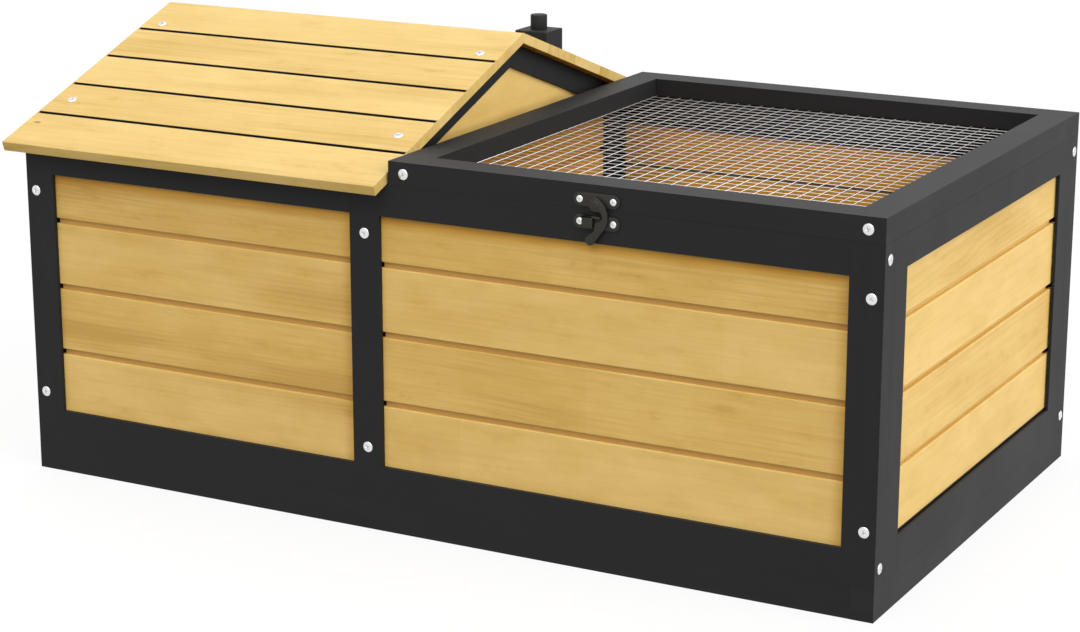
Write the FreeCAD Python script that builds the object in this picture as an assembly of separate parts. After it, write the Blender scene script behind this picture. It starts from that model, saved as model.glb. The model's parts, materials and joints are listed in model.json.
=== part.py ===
import FreeCAD
import Part
import math
import os

Vector = FreeCAD.Vector

# Body, in millimetres. +X runs from the house to the run, +Y from front to back.
body_length = 850.0
body_depth = 494.0
wall_height = 289.0
partition_from_left = 369.0

# Plinth and floor
plinth_height = 28.0
plinth_thickness = 21.0
floor_thickness = 6.0
floor_rebate = 9.0
floor_clearance = 0.3

# Wall frames
frame_thickness = 21.0
stile_width = 30.0
end_stile_width = 29.0
bottom_rail_height = 32.0
top_rail_height = 28.5
doorway_width = 190.0
doorway_height = 148.0
door_rail_height = 28.5

# Wall boards, tongued and grooved with a shadow gap between them
board_thickness = 12.0
board_recess = 4.2
board_pitch = 63.2
board_gap = 5.0
board_gap_depth = 4.0
board_chamfer = 1.0
lowest_board_face = 55.2
partition_top_board = 48.8
tongue_thickness = 3.5
tongue_height = 3.5
groove_depth = 8.0
panel_clearance = 0.2
least_board_height = 14.0

# Roof and gables
roof_angle = 19.3
roof_thickness = 9.0
roof_eave_overhang = 20.8
roof_left_overhang = 10.0
roof_right_overhang = 12.5
roof_lowest_board = 56.1
roof_board_pitch = 56.5
roof_gap = 3.0
roof_gap_depth = 1.5
roof_chamfer = 0.3
roof_tongue_thickness = 2.4
roof_tongue_height = 2.4
roof_seat_clearance = 0.2
rafter_depth = 22.0
rafter_toe = 4.0
run_gable_setback = 1.0

# Chimney on the back slope
chimney_length = 34.0
chimney_width = 33.0
chimney_height = 17.2
chimney_from_ridge = 72.5
pipe_diameter = 16.0
pipe_height = 14.0

# Mesh lid over the run
lid_thickness = 21.0
lid_rail_width = 30.0
lid_roof_gap = 2.2
lid_seat_gap = 0.4
mesh_pitch = 12.7
mesh_wire_diameter = 0.9
mesh_rebate_width = 8.0
mesh_rebate_depth = 4.0
mesh_clearance = 0.05

# Frame screws, with raised heads and a cross recess
screw_head_diameter = 9.5
screw_head_height = 1.2
screw_head_rim = 0.4
screw_shank_diameter = 4.0
screw_bite = 15.0
screw_recess_depth = 0.7
screw_recess_length = 5.0
screw_recess_width = 1.1
screw_hole_clearance = 0.1
wall_screw_inset = 16.7
roof_screw_low = 84.5
roof_screw_high = 239.5

# Small screws of the hinges and the latch
fitting_head_diameter = 6.0
fitting_head_height = 1.2
fitting_head_rim = 0.4
fitting_shank_diameter = 3.0
fitting_screw_length = 12.0
fitting_recess_depth = 0.6
fitting_recess_length = 3.2
fitting_recess_width = 0.8

# Lid hinges on the back faces
hinge_inset = 90.0
hinge_length = 50.0
hinge_leaf_height = 18.0
hinge_leaf_thickness = 1.2
hinge_knuckle_radius = 3.0
hinge_knuckle_gap = 0.4
hinge_face_clearance = 0.3
hinge_pin_radius = 1.5
hinge_pin_clearance = 0.05
hinge_pin_head_radius = 2.4
hinge_pin_head_height = 1.0
hinge_screw_spacing = 30.0
hinge_screw_from_axis = 11.0

# Latch on the front faces. Points of the hook are right of and above its pivot.
latch_from_left = 596.0
latch_plate_thickness = 1.5
latch_plate_radius = 6.0
latch_screw_spacing = 31.0
hook_plate_above_seam = 8.3
catch_plate_below_seam = 10.5
hook_pivot_right = 0.5
hook_pivot_below_plate = 2.7
hook_thickness = 2.2
hook_head_clearance = 0.3
hook_boss_radius = 6.2
hook_arm_outside = (11.2, -9.7)
hook_arm_foot = (5.2, -24.5)
hook_arm_inside = (3.6, -6.2)
hook_throat = (6.4, -10.2)
hook_tooth_root = (5.0, -13.6)
hook_tooth_tip = (0.0, -16.0)
hook_neck = (-1.2, -22.8)
hook_tail_centre = (-4.9, -30.9)
hook_tail_radius = 4.4
hook_tail_start = -50.0
hook_tail_end = 120.0
rivet_radius = 2.0
rivet_clearance = 0.05
rivet_collar_radius = 3.2
rivet_head_radius = 3.6
rivet_head_height = 1.0
rivet_end_play = 0.1
catch_lip_thickness = 2.0
catch_lip_drop = 10.1
catch_lip_left = 12.5
catch_lip_right = 4.6
catch_block_width = 10.0
catch_block_height = 10.6
catch_lip_proud = 0.3

# How far a cutting shape runs past the face that it cuts
cut_past = 1.0

# Places worked out from the sizes above. The origin is under the middle of the overall box.
left_face = -(body_length + screw_head_height - roof_left_overhang) / 2
right_face = left_face + body_length
middle_x = (left_face + right_face) / 2
front_face = -body_depth / 2
back_face = body_depth / 2
front_inner = front_face + frame_thickness
wall_bottom = plinth_height
wall_top = wall_bottom + wall_height
opening_bottom = wall_bottom + bottom_rail_height
opening_top = wall_top - top_rail_height
wall_seam = opening_bottom + lowest_board_face
partition_seam = wall_top - partition_top_board - board_gap
partition_x = left_face + partition_from_left
partition_left = partition_x - frame_thickness / 2
partition_right = partition_x + frame_thickness / 2

roof_slope = math.radians(roof_angle)
roof_left = left_face - roof_left_overhang
roof_right = partition_right + roof_right_overhang
eave_y = front_face - roof_eave_overhang
roof_seat = wall_top + roof_seat_clearance
eave_z = roof_seat + roof_thickness / math.cos(roof_slope) - roof_eave_overhang * math.tan(roof_slope)
slope_length = -eave_y / math.cos(roof_slope)

lid_left = roof_right + lid_roof_gap
lid_bottom = wall_top + lid_seat_gap
lid_top = lid_bottom + lid_thickness
seam_z = (wall_top + lid_bottom) / 2

wall_stock = {
    "thickness": board_thickness,
    "gap": board_gap,
    "gap_depth": board_gap_depth,
    "chamfer": board_chamfer,
    "tongue": tongue_thickness,
    "tongue_height": tongue_height,
}
roof_stock = {
    "thickness": roof_thickness,
    "gap": roof_gap,
    "gap_depth": roof_gap_depth,
    "chamfer": roof_chamfer,
    "tongue": roof_tongue_thickness,
    "tongue_height": roof_tongue_height,
}
parts = {}


# Shared shapes

def box(x0, x1, y0, y1, z0, z1):
    return Part.makeBox(x1 - x0, y1 - y0, z1 - z0, Vector(x0, y0, z0))


def prism(points, along):
    corners = [Vector(*point) for point in points]
    face = Part.Face(Part.makePolygon(corners + corners[:1]))
    return face.extrude(Vector(*along))


def rod(radius, start, along):
    direction = Vector(*along)
    return Part.makeCylinder(radius, direction.Length, Vector(*start), direction)


def front_to_back(shape):
    return shape.mirror(Vector(0, 0, 0), Vector(0, 1, 0))


def right_to_left(shape):
    return shape.mirror(Vector(middle_x, 0, 0), Vector(1, 0, 0))


def cut_where_met(shape, cutters):
    for cutter in cutters:
        if shape.BoundBox.intersect(cutter.BoundBox):
            shape = shape.cut(cutter)
    return shape


def single_solids(shapes):
    return [solid for shape in shapes for solid in shape.Solids]


# Tongued and grooved boards: length along X, outer face at y = 0, rows up Z

def seams_between(bottom, top, first, pitch, gap):
    lowest = bottom + least_board_height
    highest = top - least_board_height - gap
    start = math.ceil((lowest - first) / pitch)
    end = math.floor((highest - first) / pitch)
    return [first + row * pitch for row in range(start, end + 1)]


def board_section(stock, bottom, top, has_below, has_above):
    thickness = stock["thickness"]
    tongue_front = (stock["gap_depth"] + thickness - stock["tongue"]) / 2
    tongue_back = tongue_front + stock["tongue"]
    points = [(0, bottom)]
    if has_above:
        shoulder = top + stock["gap"] - panel_clearance
        tongue_top = shoulder + stock["tongue_height"]
        points += [(0, top - stock["chamfer"]), (stock["chamfer"], top)]
        points += [(stock["gap_depth"], top), (stock["gap_depth"], shoulder)]
        points += [(tongue_front, shoulder), (tongue_front, tongue_top)]
        points += [(tongue_back, tongue_top), (tongue_back, shoulder), (thickness, shoulder)]
    else:
        points += [(0, top), (thickness, top)]
    points += [(thickness, bottom)]
    if has_below:
        slot_top = bottom + stock["tongue_height"]
        points += [(tongue_back + panel_clearance, bottom), (tongue_back + panel_clearance, slot_top)]
        points += [(tongue_front - panel_clearance, slot_top), (tongue_front - panel_clearance, bottom)]
    return points


def board_rows(stock, length, bottom, top, seams):
    rows = []
    for row in range(len(seams) + 1):
        low = seams[row - 1] + stock["gap"] if row > 0 else bottom
        high = seams[row] if row < len(seams) else top
        section = board_section(stock, low, high, row > 0, row < len(seams))
        rows.append(prism([(0, y, z) for y, z in section], (length, 0, 0)))
    return rows


def wall_boards(length, bottom, top, seam):
    seams = seams_between(bottom, top, seam, board_pitch, board_gap)
    return board_rows(wall_stock, length, bottom, top, seams)


# Screws: made with the seat of the head at the origin and the head up Z

def screw_shape(head_diameter, head_height, rim, shank_diameter, recess, length):
    head_radius = head_diameter / 2
    shank_radius = shank_diameter / 2
    recess_depth, recess_length, recess_width = recess
    dome_rise = head_height - rim
    dome_radius = (head_radius ** 2 + dome_rise ** 2) / (2 * dome_rise)
    half_angle = math.asin(head_radius / dome_radius) / 2
    seat_edge = Vector(head_radius, 0, 0)
    rim_edge = Vector(head_radius, 0, rim)
    shoulder = Vector(dome_radius * math.sin(half_angle), 0,
                      head_height - dome_radius * (1 - math.cos(half_angle)))
    crown = Vector(0, 0, head_height)
    outline = [
        Part.LineSegment(Vector(0, 0, -length), Vector(shank_radius, 0, -length)).toShape(),
        Part.LineSegment(Vector(shank_radius, 0, -length), Vector(shank_radius, 0, 0)).toShape(),
        Part.LineSegment(Vector(shank_radius, 0, 0), seat_edge).toShape(),
        Part.LineSegment(seat_edge, rim_edge).toShape(),
        Part.Arc(rim_edge, shoulder, crown).toShape(),
        Part.LineSegment(crown, Vector(0, 0, -length)).toShape(),
    ]
    shape = Part.Face(Part.Wire(outline)).revolve(Vector(0, 0, 0), Vector(0, 0, 1), 360)
    half_length = recess_length / 2
    half_width = recess_width / 2
    recess_bottom = head_height - recess_depth
    shape = shape.cut(box(-half_length, half_length, -half_width, half_width, recess_bottom, head_height))
    return shape.cut(box(-half_width, half_width, -half_length, half_length, recess_bottom, head_height))


def frame_screw(length):
    recess = (screw_recess_depth, screw_recess_length, screw_recess_width)
    return screw_shape(screw_head_diameter, screw_head_height, screw_head_rim,
                       screw_shank_diameter, recess, length)


def fitting_screw(length):
    recess = (fitting_recess_depth, fitting_recess_length, fitting_recess_width)
    return screw_shape(fitting_head_diameter, fitting_head_height, fitting_head_rim,
                       fitting_shank_diameter, recess, length)


def put_screw(shape, seat, outward):
    placed = shape.copy()
    placed.Placement = FreeCAD.Placement(seat, FreeCAD.Rotation(Vector(0, 0, 1), outward))
    return placed


def screw_hole(shank_diameter, seat, outward, length):
    radius = shank_diameter / 2 + screw_hole_clearance
    return Part.makeCylinder(radius, length + screw_hole_clearance, seat, outward * -1)


# Screw places: wall screws tie the end frames and the partition to the stiles, edge screws tie rails to stiles

def mirrored_pair(point):
    return [point, Vector(point.x, -point.y, point.z)]


wall_screw_length = frame_thickness + screw_bite
wall_screw_seats = []
for screw_x in (left_face + frame_thickness / 2, partition_x, right_face - frame_thickness / 2):
    for screw_z in (opening_bottom + wall_screw_inset, opening_top - wall_screw_inset):
        wall_screw_seats += mirrored_pair(Vector(screw_x, front_face, screw_z))

edge_screw_length = stile_width + screw_bite
edge_screw_seats = []
for screw_z in (wall_bottom + bottom_rail_height / 2, wall_top - top_rail_height / 2):
    for screw_x in (left_face, right_face):
        edge_screw_seats += mirrored_pair(Vector(screw_x, front_face + frame_thickness / 2, screw_z))

roof_screw_length = roof_thickness + screw_bite
roof_out = Vector(0, -math.sin(roof_slope), math.cos(roof_slope))
roof_screw_seats = []
for screw_x in (left_face + frame_thickness / 2, partition_x):
    for distance in (roof_screw_low, roof_screw_high):
        screw_y = eave_y + distance * math.cos(roof_slope)
        screw_z = eave_z + distance * math.sin(roof_slope)
        roof_screw_seats.append(Vector(screw_x, screw_y, screw_z))

lid_screw_length = lid_rail_width + screw_bite
lid_screw_seats = []
for screw_x in (lid_left + lid_rail_width / 2, right_face - lid_rail_width / 2):
    lid_screw_seats += mirrored_pair(Vector(screw_x, front_face, lid_bottom + lid_thickness / 2))


def toward_outside(seat):
    return Vector(0, math.copysign(1, seat.y), 0)


def toward_end(seat):
    return Vector(math.copysign(1, seat.x), 0, 0)


wall_screw_holes = [screw_hole(screw_shank_diameter, seat, toward_outside(seat), wall_screw_length)
                    for seat in wall_screw_seats]
edge_screw_holes = [screw_hole(screw_shank_diameter, seat, toward_end(seat), edge_screw_length)
                    for seat in edge_screw_seats]
roof_screw_holes = [screw_hole(screw_shank_diameter, seat, roof_out, roof_screw_length)
                    for seat in roof_screw_seats]
lid_screw_holes = [screw_hole(screw_shank_diameter, seat, toward_outside(seat), lid_screw_length)
                   for seat in lid_screw_seats]
frame_holes = wall_screw_holes + edge_screw_holes

hinge_centres = [lid_left + hinge_inset, right_face - hinge_inset]
hinge_screw_xs = [centre + side * hinge_screw_spacing / 2 for centre in hinge_centres for side in (-1, 1)]
hinge_frame_seats = [Vector(x, back_face, seam_z - hinge_screw_from_axis) for x in hinge_screw_xs]
hinge_lid_seats = [Vector(x, back_face, seam_z + hinge_screw_from_axis) for x in hinge_screw_xs]
hinge_frame_holes = [screw_hole(fitting_shank_diameter, seat, Vector(0, 1, 0), fitting_screw_length)
                     for seat in hinge_frame_seats]
hinge_lid_holes = [screw_hole(fitting_shank_diameter, seat, Vector(0, 1, 0), fitting_screw_length)
                   for seat in hinge_lid_seats]

latch_x = left_face + latch_from_left
hook_plate_z = seam_z + hook_plate_above_seam
catch_plate_z = seam_z - catch_plate_below_seam
latch_screw_xs = [latch_x - latch_screw_spacing / 2, latch_x + latch_screw_spacing / 2]
hook_plate_seats = [Vector(x, front_face, hook_plate_z) for x in latch_screw_xs]
catch_plate_seats = [Vector(x, front_face, catch_plate_z) for x in latch_screw_xs]
hook_plate_holes = [screw_hole(fitting_shank_diameter, seat, Vector(0, -1, 0), fitting_screw_length)
                    for seat in hook_plate_seats]
catch_plate_holes = [screw_hole(fitting_shank_diameter, seat, Vector(0, -1, 0), fitting_screw_length)
                     for seat in catch_plate_seats]


# Plinth and floor

floor_space = box(left_face + plinth_thickness - floor_rebate, right_face - plinth_thickness + floor_rebate,
                  front_face + plinth_thickness - floor_rebate, back_face - plinth_thickness + floor_rebate,
                  plinth_height - floor_thickness, plinth_height)


def make_plinth():
    front = box(left_face + plinth_thickness, right_face - plinth_thickness,
                front_face, front_face + plinth_thickness, 0, plinth_height).cut(floor_space)
    right = box(right_face - plinth_thickness, right_face,
                front_face, back_face, 0, plinth_height).cut(floor_space)
    parts["plinth_front_board"] = front
    parts["plinth_back_board"] = front_to_back(front)
    parts["plinth_right_board"] = right
    parts["plinth_left_board"] = right_to_left(right)


def make_floor():
    space = floor_space.BoundBox
    parts["floor_panel"] = box(space.XMin + floor_clearance, space.XMax - floor_clearance,
                               space.YMin + floor_clearance, space.YMax - floor_clearance,
                               space.ZMin, space.ZMax)


# Long walls: the back one is the front one mirrored

def wall_pocket(opening_left, opening_right):
    return box(opening_left - groove_depth, opening_right + groove_depth,
               front_face + board_recess - panel_clearance,
               front_face + board_recess + board_thickness + panel_clearance,
               opening_bottom - groove_depth, opening_top + groove_depth)


def pocket_boards(pocket):
    space = pocket.BoundBox
    length = space.XLength - 2 * panel_clearance
    rows = wall_boards(length, space.ZMin + panel_clearance, space.ZMax - panel_clearance, wall_seam)
    for board in rows:
        board.translate(Vector(space.XMin + panel_clearance, front_face + board_recess, 0))
    return Part.makeCompound(rows)


def make_long_walls():
    middle_left = partition_x - stile_width / 2
    middle_right = partition_x + stile_width / 2
    house_left = left_face + stile_width
    run_right = right_face - stile_width
    house_pocket = wall_pocket(house_left, middle_left)
    run_pocket = wall_pocket(middle_right, run_right)

    def timber(x0, x1, z0, z1):
        return box(x0, x1, front_face, front_inner, z0, z1)

    frame = {
        "left_stile": timber(left_face, house_left, wall_bottom, wall_top),
        "middle_stile": timber(middle_left, middle_right, opening_bottom, wall_top),
        "right_stile": timber(run_right, right_face, wall_bottom, wall_top),
        "bottom_rail": timber(house_left, run_right, wall_bottom, opening_bottom),
        "house_top_rail": timber(house_left, middle_left, opening_top, wall_top),
        "run_top_rail": timber(middle_right, run_right, opening_top, wall_top),
    }
    for name, shape in frame.items():
        shape = cut_where_met(shape, [house_pocket, run_pocket] + frame_holes)
        parts["front_" + name] = cut_where_met(shape, catch_plate_holes)
        parts["back_" + name] = cut_where_met(front_to_back(shape), hinge_frame_holes)
    for name, pocket in (("house_boards", house_pocket), ("run_boards", run_pocket)):
        boards = pocket_boards(pocket)
        parts["front_" + name] = boards
        parts["back_" + name] = front_to_back(boards)


# End walls stand between the long walls: the left one is the right one mirrored

def boards_across(outer_x, pocket, seam):
    space = pocket.BoundBox
    rows = wall_boards(space.YLength - 2 * panel_clearance, space.ZMin + panel_clearance,
                       space.ZMax - panel_clearance, seam)
    for board in rows:
        board.rotate(Vector(0, 0, 0), Vector(0, 0, 1), 90)
        board.translate(Vector(outer_x, space.YMin + panel_clearance, 0))
    return rows


def make_end_walls():
    inner = right_face - frame_thickness
    panel_front = front_inner + end_stile_width
    pocket = box(right_face - board_recess - board_thickness - panel_clearance,
                 right_face - board_recess + panel_clearance,
                 panel_front - groove_depth, -panel_front + groove_depth,
                 opening_bottom - groove_depth, opening_top + groove_depth)
    frame = {
        "front_stile": box(inner, right_face, front_inner, panel_front, wall_bottom, wall_top),
        "back_stile": box(inner, right_face, -panel_front, -front_inner, wall_bottom, wall_top),
        "bottom_rail": box(inner, right_face, panel_front, -panel_front, wall_bottom, opening_bottom),
        "top_rail": box(inner, right_face, panel_front, -panel_front, opening_top, wall_top),
    }
    for name, shape in frame.items():
        shape = cut_where_met(shape, [pocket] + frame_holes)
        parts["right_end_" + name] = shape
        parts["left_end_" + name] = right_to_left(shape)
    boards = Part.makeCompound(boards_across(right_face - board_recess, pocket, wall_seam))
    parts["right_end_boards"] = boards
    parts["left_end_boards"] = right_to_left(boards)


# Partition on the floor: a doorway with a rail over it, boarded bays beside it, a boarded panel above

def make_partition():
    bay_front = front_inner + end_stile_width
    jamb_inner = -doorway_width / 2
    jamb_outer = jamb_inner - end_stile_width
    door_top = wall_bottom + doorway_height
    rail_top = door_top + door_rail_height
    board_face = partition_right - board_recess

    def pocket(y1, z0, z1):
        return box(board_face - board_thickness - panel_clearance, board_face + panel_clearance,
                   bay_front - groove_depth, y1 + groove_depth, z0, z1)

    bay = pocket(jamb_outer, wall_bottom, door_top + groove_depth)
    panel = pocket(-bay_front, rail_top - groove_depth, wall_top)
    cutters = [bay, front_to_back(bay), panel] + wall_screw_holes

    def timber(y0, y1, z0, z1):
        return cut_where_met(box(partition_left, partition_right, y0, y1, z0, z1), cutters)

    upright = timber(front_inner, bay_front, wall_bottom, wall_top)
    jamb = timber(jamb_outer, jamb_inner, wall_bottom, door_top)
    uprights = [upright, front_to_back(upright), jamb, front_to_back(jamb)]
    bay_boards = boards_across(board_face, bay, partition_seam)
    boards = bay_boards + [front_to_back(board) for board in bay_boards]
    boards += boards_across(board_face, panel, partition_seam)
    parts["partition_uprights"] = Part.makeCompound(single_solids(uprights))
    parts["partition_door_rail"] = timber(bay_front, -bay_front, door_top, rail_top)
    parts["partition_boards"] = Part.makeCompound(boards)


# Gables: two rafters that meet under the ridge, and an infill board below them

def make_gable(name, outer_x, inward):
    rise = math.tan(roof_slope)
    drop = rafter_depth / math.cos(roof_slope)
    ridge_under = roof_seat - front_face * rise
    toe_y = front_face + rafter_toe
    heel_y = front_face + (drop - roof_seat_clearance) / rise
    rafter = prism([
        (outer_x, toe_y, wall_top),
        (outer_x, toe_y, roof_seat + rafter_toe * rise),
        (outer_x, 0, ridge_under),
        (outer_x, 0, ridge_under - drop),
        (outer_x, heel_y, wall_top),
    ], (inward * frame_thickness, 0, 0))
    rafter = cut_where_met(rafter, roof_screw_holes)
    infill_x = outer_x + inward * board_recess
    infill = prism([
        (infill_x, heel_y, wall_top),
        (infill_x, 0, ridge_under - drop),
        (infill_x, -heel_y, wall_top),
    ], (inward * board_thickness, 0, 0))
    parts[name + "_gable_rafters"] = Part.makeCompound(single_solids([rafter, front_to_back(rafter)]))
    parts[name + "_gable_board"] = infill


# Roof: boards along X, mitred at the ridge

def make_roof():
    seams = seams_between(0, slope_length, roof_lowest_board, roof_board_pitch, roof_gap)
    rows = board_rows(roof_stock, roof_right - roof_left, 0, slope_length, seams)
    past_ridge = box(roof_left - cut_past, roof_right + cut_past, 0, roof_thickness, 0, eave_z + slope_length)
    slope = []
    for board in rows:
        board.rotate(Vector(0, 0, 0), Vector(1, 0, 0), roof_angle - 90)
        board.translate(Vector(roof_left, eave_y, eave_z))
        slope.append(cut_where_met(board, [past_ridge] + roof_screw_holes))
    front = Part.makeCompound(single_solids(slope))
    parts["front_roof_boards"] = front
    parts["back_roof_boards"] = front_to_back(front)


def make_chimney():
    rise = math.tan(roof_slope)
    near = chimney_from_ridge - chimney_width / 2
    far = chimney_from_ridge + chimney_width / 2
    ridge_top = eave_z + slope_length * math.sin(roof_slope)
    top = ridge_top - chimney_from_ridge * rise + chimney_height
    left = partition_x - chimney_length / 2
    parts["chimney_block"] = prism([
        (left, near, ridge_top - near * rise),
        (left, near, top),
        (left, far, top),
        (left, far, ridge_top - far * rise),
    ], (chimney_length, 0, 0))
    parts["chimney_pipe"] = rod(pipe_diameter / 2, (partition_x, chimney_from_ridge, top), (0, 0, pipe_height))


# Lid: four rails, and welded mesh in a rebate under them

def make_lid():
    opening_left = lid_left + lid_rail_width
    opening_right = right_face - lid_rail_width
    opening_front = front_face + lid_rail_width
    rebate = box(opening_left - mesh_rebate_width, opening_right + mesh_rebate_width,
                 opening_front - mesh_rebate_width, -opening_front + mesh_rebate_width,
                 lid_bottom, lid_bottom + mesh_rebate_depth)
    rails = {
        "front": box(lid_left, right_face, front_face, opening_front, lid_bottom, lid_top),
        "back": box(lid_left, right_face, -opening_front, back_face, lid_bottom, lid_top),
        "left": box(lid_left, opening_left, opening_front, -opening_front, lid_bottom, lid_top),
        "right": box(opening_right, right_face, opening_front, -opening_front, lid_bottom, lid_top),
    }
    cutters = [rebate] + lid_screw_holes + hook_plate_holes + hinge_lid_holes
    for name, shape in rails.items():
        parts["lid_" + name + "_rail"] = cut_where_met(shape, cutters)
    parts["lid_mesh"] = make_mesh(rebate.BoundBox)


def wire_places(low, high):
    count = int((high - low - mesh_wire_diameter) / mesh_pitch)
    start = (low + high - count * mesh_pitch) / 2
    return [start + step * mesh_pitch for step in range(count + 1)]


def make_mesh(space):
    radius = mesh_wire_diameter / 2
    upper_z = space.ZMax - mesh_clearance - radius
    lower_z = upper_z - mesh_wire_diameter - mesh_clearance
    x0 = space.XMin + mesh_clearance
    y0 = space.YMin + mesh_clearance
    length = space.XLength - 2 * mesh_clearance
    depth = space.YLength - 2 * mesh_clearance
    across = wire_places(space.XMin + mesh_rebate_width, space.XMax - mesh_rebate_width)
    along = wire_places(space.YMin + mesh_rebate_width, space.YMax - mesh_rebate_width)
    wires = [rod(radius, (x, y0, upper_z), (0, depth, 0)) for x in across]
    wires += [rod(radius, (x0, y, lower_z), (length, 0, 0)) for y in along]
    return Part.makeCompound(wires)


# Hinges: the axis lies along X behind the seam between lid and wall

def make_hinges():
    leaf_holes = [rod(fitting_shank_diameter / 2 + screw_hole_clearance,
                      (seat.x, back_face - cut_past, seat.z), (0, hinge_leaf_thickness + 2 * cut_past, 0))
                  for seat in hinge_frame_seats + hinge_lid_seats]
    axis_y = back_face + hinge_face_clearance + hinge_knuckle_radius
    bore = hinge_pin_radius + hinge_pin_clearance
    third = hinge_length / 3
    notch = hinge_knuckle_radius + hinge_knuckle_gap
    frame_leaves = []
    lid_leaves = []
    pins = []
    for centre in hinge_centres:
        x0 = centre - hinge_length / 2
        x1 = centre + hinge_length / 2
        outer_spans = [(x0, x0 + third), (x1 - third, x1)]
        middle_span = (x0 + third + hinge_knuckle_gap, x1 - third - hinge_knuckle_gap)
        pin_hole = rod(bore, (x0 - cut_past, axis_y, seam_z), (hinge_length + 2 * cut_past, 0, 0))

        def leaf(spans, clear_spans, direction):
            z0, z1 = sorted((seam_z, seam_z + direction * hinge_leaf_height))
            shape = box(x0, x1, back_face, back_face + hinge_leaf_thickness, z0, z1)
            for a, b in clear_spans:
                shape = shape.cut(box(a, b, back_face - cut_past, axis_y, seam_z - notch, seam_z + notch))
            for a, b in spans:
                shape = shape.fuse(rod(hinge_knuckle_radius, (a, axis_y, seam_z), (b - a, 0, 0)))
            shape = shape.cut(pin_hole).removeSplitter()
            return cut_where_met(shape, leaf_holes)

        outer_clear = [(x0 - cut_past, middle_span[0]), (middle_span[1], x1 + cut_past)]
        middle_clear = [(outer_spans[0][1], outer_spans[1][0])]
        frame_leaves.append(leaf(outer_spans, middle_clear, -1))
        lid_leaves.append(leaf([middle_span], outer_clear, 1))
        pin = rod(hinge_pin_radius, (x0, axis_y, seam_z), (hinge_length, 0, 0))
        for x, along in ((x0, -hinge_pin_head_height), (x1, hinge_pin_head_height)):
            pin = pin.fuse(rod(hinge_pin_head_radius, (x, axis_y, seam_z), (along, 0, 0)))
        pins.append(pin.removeSplitter())
    parts["hinge_frame_leaves"] = Part.makeCompound(single_solids(frame_leaves))
    parts["hinge_lid_leaves"] = Part.makeCompound(single_solids(lid_leaves))
    parts["hinge_pins"] = Part.makeCompound(single_solids(pins))


# Latch: plates on the front faces, a hook on a rivet in front of the screw heads

def front_plate(wire, start, end):
    face = Part.Face(wire)
    face.translate(Vector(0, front_face - start, 0))
    return face.extrude(Vector(0, start - end, 0))


def line(a, b):
    return Part.LineSegment(a, b).toShape()


def arc(a, through, b):
    return Part.Arc(a, through, b).toShape()


def round_ended_plate(x, z):
    half = latch_screw_spacing / 2
    radius = latch_plate_radius
    left_top = Vector(x - half, 0, z + radius)
    left_low = Vector(x - half, 0, z - radius)
    right_top = Vector(x + half, 0, z + radius)
    right_low = Vector(x + half, 0, z - radius)
    wire = Part.Wire([
        line(left_top, right_top),
        arc(right_top, Vector(x + half + radius, 0, z), right_low),
        line(right_low, left_low),
        arc(left_low, Vector(x - half - radius, 0, z), left_top),
    ])
    return front_plate(wire, 0, latch_plate_thickness)


hook_back = latch_plate_thickness + fitting_head_height + hook_head_clearance
hook_front = hook_back + hook_thickness
pivot_x = latch_x + hook_pivot_right
pivot_z = hook_plate_z - hook_pivot_below_plate


def from_pivot(offset):
    right, up = offset
    return Vector(pivot_x + right, 0, pivot_z + up)


def on_tail(degrees):
    angle = math.radians(degrees)
    reach = Vector(hook_tail_radius * math.cos(angle), 0, hook_tail_radius * math.sin(angle))
    return from_pivot(hook_tail_centre) + reach


def hook_outline():
    crown = from_pivot((0, hook_boss_radius))
    boss_left = from_pivot((-hook_boss_radius, 0))
    boss_bottom = from_pivot((0, -hook_boss_radius))
    tail_middle = (hook_tail_start + hook_tail_end) / 2 + 180
    return Part.Wire([
        arc(crown, from_pivot(hook_arm_outside), from_pivot(hook_arm_foot)),
        line(from_pivot(hook_arm_foot), on_tail(hook_tail_start)),
        arc(on_tail(hook_tail_start), on_tail(tail_middle), on_tail(hook_tail_end)),
        line(on_tail(hook_tail_end), from_pivot(hook_neck)),
        line(from_pivot(hook_neck), from_pivot(hook_tooth_tip)),
        line(from_pivot(hook_tooth_tip), from_pivot(hook_tooth_root)),
        arc(from_pivot(hook_tooth_root), from_pivot(hook_throat), from_pivot(hook_arm_inside)),
        line(from_pivot(hook_arm_inside), boss_bottom),
        arc(boss_bottom, boss_left, crown),
    ])


def pivot_rod(radius, start, end):
    return rod(radius, (pivot_x, front_face - start, pivot_z), (0, start - end, 0))


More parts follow.
